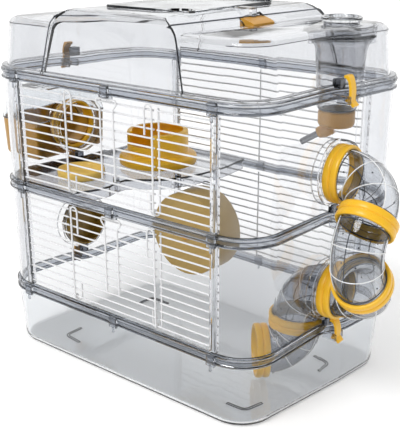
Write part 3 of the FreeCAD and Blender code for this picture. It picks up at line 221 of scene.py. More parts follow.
crystal = clear_plastic("moulded crystal styrene", "#F4F6F8", 0.02, 30, 0.08)
smoke = clear_plastic("moulded smoke styrene", "#C9CBD0", 0.06, 30, 0.10)
panel_styrene = clear_plastic("moulded crystal styrene of lid and panels", "#ECEDEF", 0.02, 30, 0.08)
# The `edge` colours below paint shade where a wall is seen edge-on.
tube_styrene = clear_plastic("tube styrene, clear", "#E8EAED", 0.03, 24, 0.08, "#4C4F56")
tube_smoke = clear_plastic("tube styrene, smoke", "#C6C9CF", 0.03, 24, 0.08, "#3C3F46")
bottle_styrene = clear_plastic("blow-moulded bottle styrene", "#E9EAEC", 0.03, 30, 0.06, "#85888E")
bottle_tint = clear_plastic("blow-moulded bottle styrene, smoke", "#F1F1F2", 0.05, 30, 0.06)
rim_styrene = clear_plastic("thick crystal styrene of the rims", "#D2D5DA", 0.05, 18, 0.08)
# Painted shade: a dark clear tint for beads along folds, steps and edges, where thick styrene looks dark.
painted_shade_fold = clear_plastic("painted shade along folds of thick styrene", "#6A6D75", 0.10, 18, 0.10)
print("clear finishes:", crystal.name, "and", smoke.name)

# %% [markdown]
# ## Yellow and amber plastics
# Rings, right clips and toilet are opaque yellow polypropylene. The left clips, the hatch latch and the
# bottle's lower cap are amber, the nest's tray is ochre, the bowl a paler yellow and the wheel
# sand-coloured. The plug is amber darkened with painted shade. Moulded polypropylene has a soft gloss,
# an IOR of 1.49 and a faint orange-peel skin about 1.5 mm across, with slightly uneven colour where the
# pigment streaked. A painted texture could carry all of this; noise in the piece's own space needs no
# image and has no seam. Two more tones are painted light: white for a painted highlight on the elbows'
# ribs, and dark grey for painted shade in seams, vents and floor marks, which are too fine for the light
# to draw by itself.

# %% Coloured plastics
def moulded_plastic(name, base, streak, roughness):
    """Opaque polypropylene with streaks of pigment and a fine skin."""
    material, tree, out = new_material(name)
    place = add_node(tree, "ShaderNodeTexCoord")
    flow = add_node(tree, "ShaderNodeTexNoise",
                    {"Vector": place.outputs["Object"], "Scale": 1000 / 22, "Detail": 3.0})
    colour = add_node(tree, "ShaderNodeMix",
                      {"Factor": flow.outputs["Fac"], 6: linear(base), 7: linear(streak)}, data_type="RGBA")
    skin = add_node(tree, "ShaderNodeTexNoise",
                    {"Vector": place.outputs["Object"], "Scale": 1000 / 1.5, "Detail": 2.0})
    gloss = add_node(tree, "ShaderNodeMapRange",
                     {"Value": skin.outputs["Fac"], "To Min": roughness - 0.05, "To Max": roughness + 0.07})
    bump = add_node(tree, "ShaderNodeBump",
                    {"Height": skin.outputs["Fac"], "Strength": 0.06, "Distance": 0.0003})
    shade = add_node(tree, "ShaderNodeBsdfPrincipled", {
        "Base Color": colour.outputs[2], "Roughness": gloss.outputs[0], "IOR": 1.49,
        "Normal": bump.outputs["Normal"],
    })
    tree.links.new(shade.outputs[0], out.inputs["Surface"])
    return material


yellow = moulded_plastic("moulded yellow polypropylene", "#FDBE1C", "#FFCB34", 0.28)
amber = moulded_plastic("moulded amber polypropylene", "#CE9226", "#DDA236", 0.32)
beige = moulded_plastic("moulded sand-coloured polypropylene", "#BD994E", "#CDAE6C", 0.34)
ochre = moulded_plastic("moulded ochre polypropylene", "#AD7C1C", "#BA8A2C", 0.32)
pale = moulded_plastic("moulded pale yellow polypropylene", "#FFCF52", "#FFDD80", 0.30)
# Painted highlight: white for the elbows' ribs.
painted_highlight_rib = moulded_plastic("painted highlight on styrene ribs", "#F6F7F8", "#FFFFFF", 0.20)
# Painted shade: a dark grey for seams, vents and floor marks.
painted_shade_groove = moulded_plastic("painted shade of grooves in styrene", "#3F4147", "#4A4C52", 0.35)
# Painted shade: amber darkened for the plug.
amber_with_painted_shade = moulded_plastic("moulded amber polypropylene darkened with painted shade", "#8A6C26", "#A07E30", 0.34)
print("coloured finishes:", yellow.name, "and", amber.name)

# %% [markdown]
# ## Powder-coated wire and stainless tube
# The wires are mild steel with a white powder coat: a bright skin with a slight orange peel and a soft
# gloss. The spout is drawn stainless tube, a metal with fine lines along its length. Both use the same
# noise node: even for the coat, and stretched for the drawing lines.

# %% Wire and steel
coat, tree, out = new_material("white powder coat on wire")
place = add_node(tree, "ShaderNodeTexCoord")
peel = add_node(tree, "ShaderNodeTexNoise",
                {"Vector": place.outputs["Object"], "Scale": 1000 / 0.9, "Detail": 2.0})
bump = add_node(tree, "ShaderNodeBump",
                {"Height": peel.outputs["Fac"], "Strength": 0.12, "Distance": 0.0002})
cloud = add_node(tree, "ShaderNodeTexNoise",
                 {"Vector": place.outputs["Object"], "Scale": 1000 / 14, "Detail": 2.0})
white = add_node(tree, "ShaderNodeMix",
                 {"Factor": cloud.outputs["Fac"], 6: linear("#E9EAEC"), 7: linear("#F4F4F5")},
                 data_type="RGBA")
shade = add_node(tree, "ShaderNodeBsdfPrincipled", {
    "Base Color": white.outputs[2], "Roughness": 0.38, "IOR": 1.5, "Normal": bump.outputs["Normal"]})
tree.links.new(shade.outputs[0], out.inputs["Surface"])

steel, tree, out = new_material("drawn stainless tube")
place = add_node(tree, "ShaderNodeTexCoord")
stretch = add_node(tree, "ShaderNodeMapping",
                   {"Vector": place.outputs["Object"], "Scale": (2500, 2500, 60)})
lines = add_node(tree, "ShaderNodeTexNoise",
                 {"Vector": stretch.outputs[0], "Scale": 1.0, "Detail": 2.0})
gloss = add_node(tree, "ShaderNodeMapRange",
                 {"Value": lines.outputs["Fac"], "To Min": 0.16, "To Max": 0.32})
shade = add_node(tree, "ShaderNodeBsdfPrincipled", {
    "Base Color": linear("#8F9297"), "Metallic": 1.0, "Roughness": gloss.outputs[0]})
tree.links.new(shade.outputs[0], out.inputs["Surface"])
FINISH = {"clear": crystal, "smoke": smoke, "yellow": yellow, "amber": amber, "wire": coat, "steel": steel}
print("finishes:", sorted(FINISH))

# %% [markdown]
# ## Finish for every solid
# Each solid first keeps its shape and gets the finish of its slot. Most are then replaced by a smoother
# piece below; the shelf and the wheel's axle and hanger stay as they are, because they are plain shapes.
# Finishes could be given one by one. A loop over the slots in the record leaves no piece undressed.

# %% Give the solids their finish
slot_of = {part["node"]: part["material_slot"] for part in frame["record"]["subparts"]}
for name, solid in nodes.items():
    solid.data.materials.clear()
    solid.data.materials.append(FINISH[slot_of[name]])
    for face in solid.data.polygons:
        face.material_index = 0
print("dressed solids:", len(nodes))

# %% [markdown]
# ## Mesh helpers
# Round things are either turned on a lathe or drawn along a path. Each helper returns plain points and
# faces, so that several wires can go into one mesh, as one welded grille is one piece. Sizes are in
# millimetres here, as on a drawing, and become metres only when the mesh is made.

# %% Lathe, disc and loft
MM = 0.001
UP = Vector((0, 0, 1))


def lathe(profile, steps, centre=(0, 0, 0), axis=UP, closed=True):
    """Turns (radius, height) points about an axis; `closed` joins the last point to the first."""
    turn = UP.rotation_difference(Vector(axis)).to_matrix()
    points, faces = [], []
    count = len(profile)
    for i in range(steps):
        angle = 2 * math.pi * i / steps
        for radius, height in profile:
            spoke = Vector((radius * math.cos(angle), radius * math.sin(angle), height))
            points.append(turn @ spoke + Vector(centre))
    for i in range(steps):
        here, there = i * count, (i + 1) % steps * count
        for k in range(count if closed else count - 1):
            onward = (k + 1) % count
            faces.append((here + k, there + k, there + onward, here + onward))
    return points, faces


def disc(radius, centre, axis, length, steps=64):
    """A solid cylinder that starts at the centre and runs along the axis."""
    profile = [(0, 0), (radius, 0), (radius, length), (0, length)]
    return lathe(profile, steps, centre, Vector(axis), closed=False)


def loft(rings):
    """A closed solid through rings that all have the same number of points."""
    count = len(rings[0])
    points = [spot for ring in rings for spot in ring]
    faces = [tuple(reversed(range(count))), tuple(range(len(points) - count, len(points)))]
    for row in range(len(rings) - 1):
        a, b = row * count, (row + 1) * count
        faces += [(a + i, a + (i + 1) % count, b + (i + 1) % count, b + i) for i in range(count)]
    return points, faces


print("points of a small disc:", len(disc(1, (0, 0, 0), UP, 1, 8)[0]))

# %% [markdown]
# ## Bars along a path
# Wires, seams and beads are round bars that follow a line. A curve object with a bevel would do the
# same; points and faces made here can be joined with other parts, cut and measured at once. The side
# direction is carried from point to point, so that a bar doesn't twist in its bends.

# %% Tube and arc
def tube(path, radius, sides=10):
    """A round bar along a path of points, with flat ends."""
    path = [Vector(p) for p in path]
    points, faces = [], []
    side = None
    for i, spot in enumerate(path):
        before = (spot - path[i - 1]).normalized() if i else (path[1] - spot).normalized()
        after = (path[i + 1] - spot).normalized() if i + 1 < len(path) else before
        heading = (before + after).normalized()
        if side is None:
            side = heading.orthogonal().normalized()
        side = (side - heading * side.dot(heading)).normalized()
        other = heading.cross(side)
        for k in range(sides):
            angle = 2 * math.pi * k / sides
            points.append(spot + side * (radius * math.cos(angle)) + other * (radius * math.sin(angle)))
    for i in range(len(path) - 1):
        for k in range(sides):
            onward = (k + 1) % sides
            faces.append((i * sides + k, i * sides + onward, (i + 1) * sides + onward, (i + 1) * sides + k))
    faces.append(tuple(reversed(range(sides))))
    last = (len(path) - 1) * sides
    faces.append(tuple(range(last, last + sides)))
    return points, faces


def arc(centre, radius, start, end, steps, across=Vector((1, 0, 0)), up=UP):
    """Points of an arc from angle start to end, in degrees, measured from `across` towards `up`."""
    out = []
    for i in range(steps + 1):
        angle = math.radians(start + (end - start) * i / steps)
        out.append(Vector(centre) + across * (radius * math.cos(angle)) + up * (radius * math.sin(angle)))
    return out


print("points of a quarter arc:", len(arc((0, 0, 0), 1, 0, 90, 6)))

# %% [markdown]
# ## From points to a piece
# A piece is one mesh with one finish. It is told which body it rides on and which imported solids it
# stands for. Its faces are turned outwards, because light finds its way through clear plastic only
# when it knows inside from outside, and edges sharper than the crease angle stay crisp. A subdivision
# modifier could round the shape too, but it would pull it away from its measured size.

# %% Make a piece
def face_outwards(mesh):
    """Turns every face of closed parts to point out of the plastic, as clear materials need."""
    shape = bmesh.new()
    shape.from_mesh(mesh)
    bmesh.ops.recalc_face_normals(shape, faces=shape.faces)
    shape.to_mesh(mesh)
    shape.free()


def make_piece(name, parts, material, body, *stands_for, crease=40):
    """Joins (points, faces) parts into one object that rides on a body and stands for solids."""
    points, faces = [], []
    for some_points, some_faces in parts:
        base = len(points)
        points.extend(Vector(p) * MM for p in some_points)
        faces.extend(tuple(base + i for i in face) for face in some_faces)
    mesh = bpy.data.meshes.new(name)
    mesh.from_pydata(points, [], faces)
    mesh.validate()
    face_outwards(mesh)
    mesh.materials.append(material)
    mesh.shade_smooth()
    mesh.set_sharp_from_angle(angle=math.radians(crease))
    piece = bpy.data.objects.new(name, mesh)
    scene.collection.objects.link(piece)
    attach(piece, body)
    if stands_for:
        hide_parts(*stands_for)
    return piece


print("millimetres become metres by", MM)

# %% [markdown]
# ## Wire walls and doors
# Each wall is a row of wires spot-welded to one or two uprights, then powder-coated. A wire is drawn
# along its centre line, with real bends where it is hooked, and a little thinner than its solid, as
# the photo shows it. One function gives the height of every row, so that the wires of walls, doors and
# hinges meet on the same levels.

# %% Sizes of the wire walls
LEVELS = (79.0, 204.0)
PITCH = 125.0
WIRE = 1.1
WIRE_SEEN = 0.95
WIRE_Y = 117.5
ROW_FIRST, ROW_PITCH, ROWS = 6.5, 9.2, 12
DOOR_X = -12.8
DOOR_EDGE, OPENING_EDGE = 59.5, 64.5
FRONT_LEFT, FRONT_RIGHT = -144.7, 115.6
HIGH_NAMES = ("lower", "upper")


def row_z(low, index):
    """Height of a row of wires in the storey that starts at `low`."""
    return low + ROW_FIRST + ROW_PITCH * index


def bar(x1, x2, y, z):
    """One level wire."""
    return tube([(x1, y, z), (x2, y, z)], WIRE_SEEN)


print("rows of wires per storey:", ROWS)

# %% [markdown]
# ## Fixed wires
# The front has a doorway in each storey: short wires beside it, and one long wire below it, on which
# the door turns. The uprights beside the doorway end in cradles, which are wires bent inwards and up
# behind the door. An array modifier could repeat the wires; a loop can leave out the doorway and bend
# the cradles in the same step. The back is a plain row of long wires with one upright.

# %% Fixed wires of the front and back walls
CRADLE_BEND, CRADLE_DIP, CRADLE_UP = 6.0, 4.7, 14.0
BACK_UPRIGHT_X = 12.8
for low, high in zip(LEVELS, HIGH_NAMES):
    hinge_z, last_z = row_z(low, 0), row_z(low, ROWS - 1)
    parts = [bar(FRONT_LEFT, FRONT_RIGHT, -WIRE_Y, hinge_z)]
    for i in range(1, ROWS):
        parts.append(bar(FRONT_LEFT, DOOR_X - OPENING_EDGE, -WIRE_Y, row_z(low, i)))
        parts.append(bar(DOOR_X + OPENING_EDGE, FRONT_RIGHT, -WIRE_Y, row_z(low, i)))
    for side in (-1, 1):
        x, y = DOOR_X + side * OPENING_EDGE, -WIRE_Y + 2 * WIRE
        centre = (x - side * CRADLE_BEND, y, hinge_z + CRADLE_BEND - CRADLE_DIP)
        hook = arc(centre, CRADLE_BEND, 0 if side > 0 else 180, -180 if side > 0 else 360, 10)
        parts.append(tube([(x, y, last_z + 2.2), *hook, hook[-1] + UP * CRADLE_UP], WIRE_SEEN))
    make_piece(high + "_front_wires", parts, coat, "cage",
               high + "_hinge_wire", high + "_left_grille", high + "_right_grille")
    back = [bar(-FRONT_RIGHT, -FRONT_LEFT, WIRE_Y, row_z(low, i)) for i in range(ROWS)]
    y = WIRE_Y - 2.2
    back.append(tube([(BACK_UPRIGHT_X, y, low + 1), (BACK_UPRIGHT_X, y, last_z + 4.4)], WIRE_SEEN))
    made = make_piece(high + "_back_wires", back, coat, "cage", high + "_back_grille")
    print(made.name, len(made.data.polygons))

# %% [markdown]
# ## Doors and their spring latches
# A door is a small grille of its own. Its uprights are bent over at the top like a walking stick and
# end below in turned eyes round the lowest wire. The latch is one springy wire with a bulging top that
# snaps behind a catch on the rim. Both halves of its path could be typed out. The right half is worked
# out from the left one instead, so that it can't come out lopsided.

# %% Doors and their spring latches
HOOK_BEND, HOOK_DOWN = 4.75, 25.0
LATCH_FOOT, LATCH_BULGE = 28.0, 4.5
EYE = [(2.0, 0.9), (1.45, 0.9), (1.45, -0.9), (2.0, -0.9), (2.75, -0.5), (2.9, 0), (2.75, 0.5)]
for low, high in zip(LEVELS, HIGH_NAMES):
    front_y = -WIRE_Y - 2 * WIRE
    hinge_z = row_z(low, 0)
    half = DOOR_EDGE + WIRE
    parts = [bar(DOOR_X - half, DOOR_X + half, -WIRE_Y, row_z(low, i)) for i in range(1, ROWS)]
    for side in (-1, 1):
        x = DOOR_X + side * DOOR_EDGE
        centre = (x - side * HOOK_BEND, front_y, row_z(low, ROWS - 1) + 5.0 - HOOK_BEND)
        hook = arc(centre, HOOK_BEND, 0 if side > 0 else 180, 180 if side > 0 else 0, 8)
        parts.append(tube([(x, front_y, hinge_z + 1.5), *hook, hook[-1] - UP * HOOK_DOWN], WIRE_SEEN))
        parts.append(lathe(EYE, 24, (x, -WIRE_Y, hinge_z), Vector((1, 0, 0))))
    make_piece(high + "_door_wires", parts, coat, high + "_door", high + "_door")
    foot, top = low + LATCH_FOOT, low + PITCH - 10.5 - 2.0 - 1.1 - 0.3
    left = [(-9.0, foot)]
    left += [(x, top - drop * LATCH_BULGE) for x, drop in (
        (-9.0, 2.2), (-10.2, 1.9), (-12.4, 1.35), (-13.4, 1.0), (-13.4, 0.5), (-12.6, 0.15), (-11.0, 0))]
    line = [(DOOR_X + x, front_y, z) for x, z in left]
    line += [(DOOR_X - x, front_y, z) for x, z in reversed(left)]
    made = make_piece(high + "_latch_wire", [tube(line, WIRE_SEEN)], coat,
                      high + "_door", high + "_door_latch")
    print(made.name, "from", foot, "to", round(top, 1))

# %% [markdown]
# ## Yellow rings
# Each joint of the tube run is held by a ring of two round beads with a narrow groove between them. It
# is a closed profile turned on a lathe: bore, two bead arcs, groove. Two torus shapes side by side
# would look alike from afar, but their groove would be too deep and their bore not straight.

# %% Turn the rings
LEG = PITCH / (2 * math.sqrt(2))
SLANT = math.sqrt(0.5)
OUTLET = math.radians(222.0)
HEADINGS = [Vector(v) for v in (
    (1, 0, 0), (0, -SLANT, -SLANT), (0, SLANT, -SLANT), (-1, 0, 0), (0, 0, -1),
    (math.cos(OUTLET), math.sin(OUTLET), 0))]
LEGS = (LEG, LEG, LEG, 45.0, 38.0)
PORT = Vector((184.3, 6.5, LEVELS[1] + 41.5))
stations = [PORT]
for before, after, leg in zip(HEADINGS, HEADINGS[1:], LEGS):
    stations.append(stations[-1] + (before + after) * leg)


def ring_profile():
    """Two beads about 7 mm wide with rounded crowns, and a narrow groove between them."""
    half = [(26.0, 0.6), (26.0, 7.0), (26.5, 7.5), (28.6, 7.55), (29.2, 7.1), (29.6, 6.2), (29.75, 4.6),
            (29.75, 2.8), (29.6, 1.5), (29.3, 0.8), (28.7, 0.55), (28.5, 0.3)]
    return half + [(r, -h) for r, h in reversed(half)]


RING_NAMES = ("upper_port_ring", "upper_tube_ring", "lower_tube_ring", "lower_port_ring",
              "inner_ring", "outlet_ring")
HOUSE_RING = ("house_ring", Vector((-PORT.x, -PORT.y, PORT.z)), Vector((-1, 0, 0)))
for name, spot, heading in (*zip(RING_NAMES, stations, HEADINGS), HOUSE_RING):
    beads = lathe(ring_profile(), 72, spot, heading)
    made = make_piece(name + "_beads", [beads], yellow, "cage", name, crease=50)
    print(made.name, [round(v, 1) for v in spot])

# %% [markdown]
# ## Clear elbows
# Each elbow is two moulded halves joined along the plane of the bend, so a fine seam runs round the
# outside and the inside of the curve, drawn as a dark line of painted shade. Ribs cross it, drawn white
# as a painted highlight, and small vents dot its sides, drawn dark as painted shade. Each elbow has a
# short straight stretch, a quarter turn and another straight stretch. Keyframes on a curve could give
# its middle line; one function that gives place and heading at any share of the run can serve the
# skins, the seams, the ribs and the vents alike.

# %% Run of an elbow
TUBE_R, TUBE_WALL, COLLAR = 25.2, 1.4, 0.45
STRAIGHT, STRAIGHT_SHARE = 5.0, 0.08


def elbow_frame(start, before, after, leg, turn):
    """Centre, heading and outward spoke of the section at `turn` from 0 to 1."""
    bend = leg - STRAIGHT
    if turn < STRAIGHT_SHARE:
        return start + before * (STRAIGHT * turn / STRAIGHT_SHARE), before, -after
    if turn > 1 - STRAIGHT_SHARE:
        rest = STRAIGHT * (1 - turn) / STRAIGHT_SHARE
        return start + (before + after) * leg - after * rest, after, before
    angle = math.pi / 2 * (turn - STRAIGHT_SHARE) / (1 - 2 * STRAIGHT_SHARE)
    spoke = after * -math.cos(angle) + before * math.sin(angle)
    heading = before * math.cos(angle) + after * math.sin(angle)
    return start + before * STRAIGHT + after * bend + spoke * bend, heading, spoke


def on_elbow(elbow, turn, degrees, radius):
    """A point along the elbow and round its section, and the way outwards there."""
    centre, heading, spoke = elbow_frame(*elbow, turn)
    angle = math.radians(degrees)
    out = spoke * math.cos(angle) + heading.cross(spoke) * math.sin(angle)
    return centre + out * radius, out


first_elbow = (stations[0], HEADINGS[0], HEADINGS[1], LEGS[0])
print("half-way round:", [round(v, 1) for v in elbow_frame(*first_elbow, 0.5)[0]])

# %% [markdown]
# ## Two skins of an elbow
# The tube is a shell with a real wall, and a collar at each end sits in the ring. A bent curve with a
# bevel would have no inner skin, and clear plastic needs both skins to look hollow. So the outer skin
# and the inner skin are drawn as hoops of points, and their ends are joined.

# %% Skins of an elbow
def elbow_shell(elbow, sides=48, steps=22):
    """Outer and inner skin with collars, closed at both ends."""
    stops = [0, 0.06, 0.075] + [0.1 + 0.8 * i / steps for i in range(steps + 1)] + [0.925, 0.94, 1]
    swell = [1.0, 1.0, 0.2] + [0.0] * (steps + 1) + [0.2, 1.0, 1.0]
    points, faces = [], []
    for outer in (True, False):
        for turn, collar in zip(stops, swell):
            radius = TUBE_R + COLLAR * collar if outer else TUBE_R - TUBE_WALL
            points += [on_elbow(elbow, turn, 360 * k / sides, radius)[0] for k in range(sides)]
    count = len(stops)
    for i in range(2 * count):
        a, b = i * sides, (i + 1) * sides
        if i + 1 not in (count, 2 * count):
            faces += [(a + k, a + (k + 1) % sides, b + (k + 1) % sides, b + k) for k in range(sides)]
    for end in (0, count - 1):
        a, b = end * sides, (count + end) * sides
        faces += [(a + k, b + k, b + (k + 1) % sides, a + (k + 1) % sides) for k in range(sides)]
    return points, faces


print("elbow radius and wall:", TUBE_R, TUBE_WALL)

# %% [markdown]
# ## Seams, ribs and vents
# Lines on the elbows run either along the bend or round the section, so one function gives each kind.
# They could be painted on. Thin bars are lit like the rest, and hide each other as the view turns. The
# seams are sunk in the outer skin and the ribs stand on it. Seams and vents are dark with painted shade,
# and the ribs white with a painted highlight.

# %% Draw the elbows
VENT_R = 0.9
VENT_ROWS = ((0.22, (20, 110, 200, 290)), (0.5, (65, 155, 245, 335)), (0.78, (20, 110, 200, 290)))


def elbow_line(elbow, degrees, radius):
    """A line along the elbow at one place round its section."""
    return [on_elbow(elbow, 0.1 + 0.8 * i / 24, degrees, radius)[0] for i in range(25)]


def elbow_hoop(elbow, turn, radius):
    """A line round the elbow's section."""
    return [on_elbow(elbow, turn, degrees, radius)[0] for degrees in range(0, 361, 9)]


ELBOW_NAMES = ("upper_outer_elbow", "side_elbow", "lower_outer_elbow", "inner_elbow", "outlet_elbow")
for name, *elbow in zip(ELBOW_NAMES, stations, HEADINGS, HEADINGS[1:], LEGS):
    styrene = tube_smoke if name in ("inner_elbow", "outlet_elbow") else tube_styrene
    made = make_piece(name + "_shell", [elbow_shell(elbow)], styrene, "cage", name)
    inside, outside = TUBE_R - 0.2, TUBE_R + 0.1
    # Dark seams: painted shade.
    seams = [tube(elbow_line(elbow, degrees, inside), 0.5, 6) for degrees in (0, 90, 180, 270)]
    seams += [tube(elbow_hoop(elbow, turn, inside), 0.7, 6) for turn in (0.12, 0.88)]
    make_piece(name + "_seams", seams, painted_shade_groove, "cage")
    # White ribs: painted highlight.
    hoops = [tube(elbow_hoop(elbow, turn, outside), 0.55, 6) for turn in (0.36, 0.64)]
    hoops += [tube(elbow_line(elbow, degrees, outside), 0.55, 6) for degrees in (45, 225)]
    make_piece(name + "_painted_highlight_ribs", hoops, painted_highlight_rib, "cage")
    # Dark vents: painted shade.
    holes = []
    for turn, row in VENT_ROWS:
        for degrees in row:
            spot, out = on_elbow(elbow, turn, degrees, TUBE_R - 0.1)
            holes.append(disc(VENT_R, spot, out, 0.3, 12))
    make_piece(name + "_vents", holes, painted_shade_groove, "cage")
    print(made.name, len(made.data.polygons))

# %% [markdown]
# ## One plan for tub, rims and end walls
# Seen from above, the cage is one rounded outline that is the same after half a turn. Every moulded
# part follows it at some inset. Each corner is an arc between two straight walls. The outline could be
# scaled for each inset, but a wall would then be thicker at the ends than at the sides. Moving the
# walls first and rounding them after keeps it even.

# %% Plan outline
HALF_DEPTH = 121.0
PLAN = ((166.8, -HALF_DEPTH, 45.0), (174.0, 0.0, -30.0), (188.0, 23.0, 30.0), (200.7, HALF_DEPTH, 40.0))


def plan(inset, z, between=1, step=5.0):
    """The outline at an inset and height; the same number of points for every inset."""
    corners = [Vector((x * sign, y * sign, 0)) for sign in (1, -1) for x, y, bend in PLAN]
    bends = [bend for x, y, bend in PLAN] * 2
    walls = []
    for here, there in zip(corners, corners[1:] + corners[:1]):
        along = (there - here).normalized()
        walls.append((here + Vector((-along.y, along.x, 0)) * inset, along))
    points = []
    for i, bend in enumerate(bends):
        (p, u), (q, v) = walls[i - 1], walls[i]
        reach = ((q.x - p.x) * v.y - (q.y - p.y) * v.x) / (u.x * v.y - u.y * v.x)
        corner = p + u * reach
        radius = max(bend - inset, 1.0) if bend > 0 else inset - bend
        half = u.angle(v) / 2
        centre = corner + (v - u).normalized() * (radius / math.cos(half))
        spoke = corner - u * (radius * math.tan(half)) - centre
        if points:
            last = points[-1]
            points += [last.lerp(centre + spoke, k / between) for k in range(1, between)]
        steps = round(math.degrees(2 * half) / step)
        for k in range(steps + 1):
            turn = 2 * half * k / steps * (1 if bend > 0 else -1)
            points.append(centre + Matrix.Rotation(turn, 3, "Z") @ spoke)
    last, first = points[-1], points[0]
    points += [last.lerp(first, k / between) for k in range(1, between)]
    return [Vector((p.x, p.y, z)) for p in points]


print("points round the plan:", len(plan(0, 0)))

# %% [markdown]
# ## A section carried round the plan
# Rims and tub have the same section all the way round, so the section is carried round the plan, as a
# sweep does in a drawing program. A bevelled curve could do it too, but its section would turn in the
# corners by its own rules. Here each point of the section is simply an inset and a height.

# %% Sweep round the plan
def swept(section, floor=False):
    """Carries a closed (inset, height) section round the plan; `floor` closes its two ends instead."""
    points, faces = [], []
    rows = []
    for inset, z in section:
        rows.append(len(points))
        points += plan(inset, z)
    count = len(points) // len(section)
    for i in range(len(section) - (1 if floor else 0)):
        a, b = rows[i], rows[(i + 1) % len(section)]
        for k in range(count):
            onward = (k + 1) % count
            faces.append((a + k, a + onward, b + onward, b + k))
    if floor:
        faces.append(tuple(reversed(range(rows[0], rows[0] + count))))
        faces.append(tuple(range(rows[-1], rows[-1] + count)))
    return points, faces


print("faces of a plain band:", len(swept([(0, 0), (0, 5), (2, 5), (2, 0)])[1]))

# %% [markdown]
# ## Blocks and the half turn
# Bosses, ears and keepers are small blocks whose moulded edges are never quite sharp. A cube with a
# bevel modifier gives the same; the hull of its softened corners is one step and can still be cut.
# The plan is the same after half a turn, so a part of one end gives the part of the other.

# %% Block and half turn
def block(low, high, soften=0.6):
    """A box with softened edges, as its hull."""
    shape = bmesh.new()
    for x, inner_x in ((low[0], low[0] + soften), (high[0], high[0] - soften)):
        for y, inner_y in ((low[1], low[1] + soften), (high[1], high[1] - soften)):
            for z, inner_z in ((low[2], low[2] + soften), (high[2], high[2] - soften)):
                for spot in ((x, inner_y, inner_z), (inner_x, y, inner_z), (inner_x, inner_y, z)):
                    shape.verts.new(spot)
    bmesh.ops.convex_hull(shape, input=shape.verts)
    shape.verts.index_update()
    points = [v.co.copy() for v in shape.verts]
    faces = [tuple(v.index for v in face.verts) for face in shape.faces]
    shape.free()
    return points, faces


def half_turned(part):
    """The same points and faces at the other end or wall of the cage."""
    points, faces = part
    return [Vector((-p[0], -p[1], p[2])) for p in points], faces


print("faces of a block:", len(block((0, 0, 0), (5, 5, 5))[1]))

# %% [markdown]
# ## Rims
# Each rim is an upside-down channel: a rounded top bead, a flat band, and a foot bead outside, with a
# plain wall inside. Its lines come from these small steps, so they are drawn at their real size, with a
# fine bead of painted shade in each step, where thick clear styrene looks dark. Sweeping one section round
# the plan gives all three rims, and the bosses, ears and pin ends are small parts set on them.

# %% Sweep the rims
RIM_SECTION = (
    (0.9, 0.0), (0.3, -0.2), (0.0, -0.8), (0.0, -2.1), (0.3, -2.8), (1.1, -3.1), (1.6, -3.5), (1.6, -7.4),
    (1.2, -8.0), (0.3, -8.3), (0.0, -8.8), (0.0, -9.8), (0.3, -10.3), (0.8, -10.5), (2.0, -10.5),
    (2.6, -10.0), (2.9, -2.4), (4.6, -2.2), (5.0, -10.0), (5.5, -10.5), (6.3, -10.5), (6.8, -10.1),
    (6.8, -0.6), (6.3, 0.0),
)
POST_X = (-148.7, -12.8, 119.6)
PIN_END = [(0, 0), (1.1, 0), (1.6, 0.5), (1.6, 7.0), (0, 7.0)]
RIM_NAMES = ("tub_rim", "middle_rim", "top_rim")


def clip_ears(top):
    """Two ears that hold a clip's pin."""
    ears = []
    for y in (-1.8, 11.8):
        ears.append(block((175.5, y, top - 13.0), (191.4, y + 3.0, top - 5.0), 1.0))
    return ears


for index, name in enumerate(RIM_NAMES):
    top = LEVELS[0] + PITCH * index
    parts = [swept([(inset, top + z) for inset, z in RIM_SECTION])]
    for side in (1, -1):
        for x in POST_X:
            boss = block((x - 5.5, -123.5, top - 12.4), (x + 5.5, -119.6, top - 0.2), 0.9)
            parts.append(boss if side > 0 else half_turned(boss))
            if x != POST_X[1] or index == 0:
                pin = lathe(PIN_END, 16, (x, -122.0, top - 18.0), closed=False)
                parts.append(pin if side > 0 else half_turned(pin))
    for ear in clip_ears(top):
        parts += [ear, half_turned(ear)]
    if index > 0:
        parts.append(block((DOOR_X - 4.5, -116.0, top - 16.4), (DOOR_X + 4.5, -113.6, top - 9.0), 0.5))
    if index == 1:
        parts.append(swept([(5.9, top - 5.0), (5.9, top - 2.5), (9.8, top - 2.5), (9.8, top - 5.0)]))
    # Two beads of painted shade run round each rim, in its steps.
    for inset, drop in ((0.9, 3.4), (0.6, 8.6)):
        line = plan(inset, top - drop)
        make_piece("%s_line_%d" % (name, drop), [tube([*line, line[0]], 0.35, 6)], painted_shade_fold, "cage")
    made = make_piece(name + "_channel", parts, rim_styrene, "cage", name, crease=25)
    print(made.name, len(made.data.polygons))

# %% [markdown]
# ## Tub
# A deep moulded tray: walls with a little draft so that it leaves the mould, and a soft edge all round
# the bottom. Its ends are slanted like the rims' at the top and run straight at the floor, so the slant
# is moved out to a straight line on the way down. A lattice could pull it there by hand; a small rule
# for each point can be checked and changed.

# %% Shape of the tub
TUB_SECTION = (
    (14.0, 0.0), (11.6, 0.0), (9.0, 0.5), (7.1, 1.8), (6.0, 4.0), (5.4, 7.5), (3.5, 38.0), (1.6, 68.0),
    (2.0, 68.5), (3.4, 68.5), (3.8, 68.0), (5.7, 38.0), (7.5, 8.5), (8.2, 5.6), (9.4, 3.7), (11.6, 2.6),
    (14.0, 2.5),
)
NOTCH_FROM, NOTCH_TO = Vector((167.9, -90.0, 0)), Vector((189.0, 30.0, 0))
NOTCH_TOP, NOTCH_BLEND = 72.0, 50.0


def straightened(point, inset):
    """Moves a point of the tub's notch out to the straight chord, fully so near the floor."""
    side = math.copysign(1, point.x)
    x, y = point.x * side, point.y * side
    low, high = NOTCH_FROM.y + inset, NOTCH_TO.y
    if x < 140 or not low < y < high:
        return point
    chord = NOTCH_FROM.x - inset + (NOTCH_TO.x - NOTCH_FROM.x) * (y - low) / (high - low)
    share = min(max((NOTCH_TOP - point.z) / NOTCH_BLEND, 0), 1)
    share = share * share * (3 - 2 * share)
    return Vector((side * (x + max(chord - x, 0) * share), point.y, point.z))


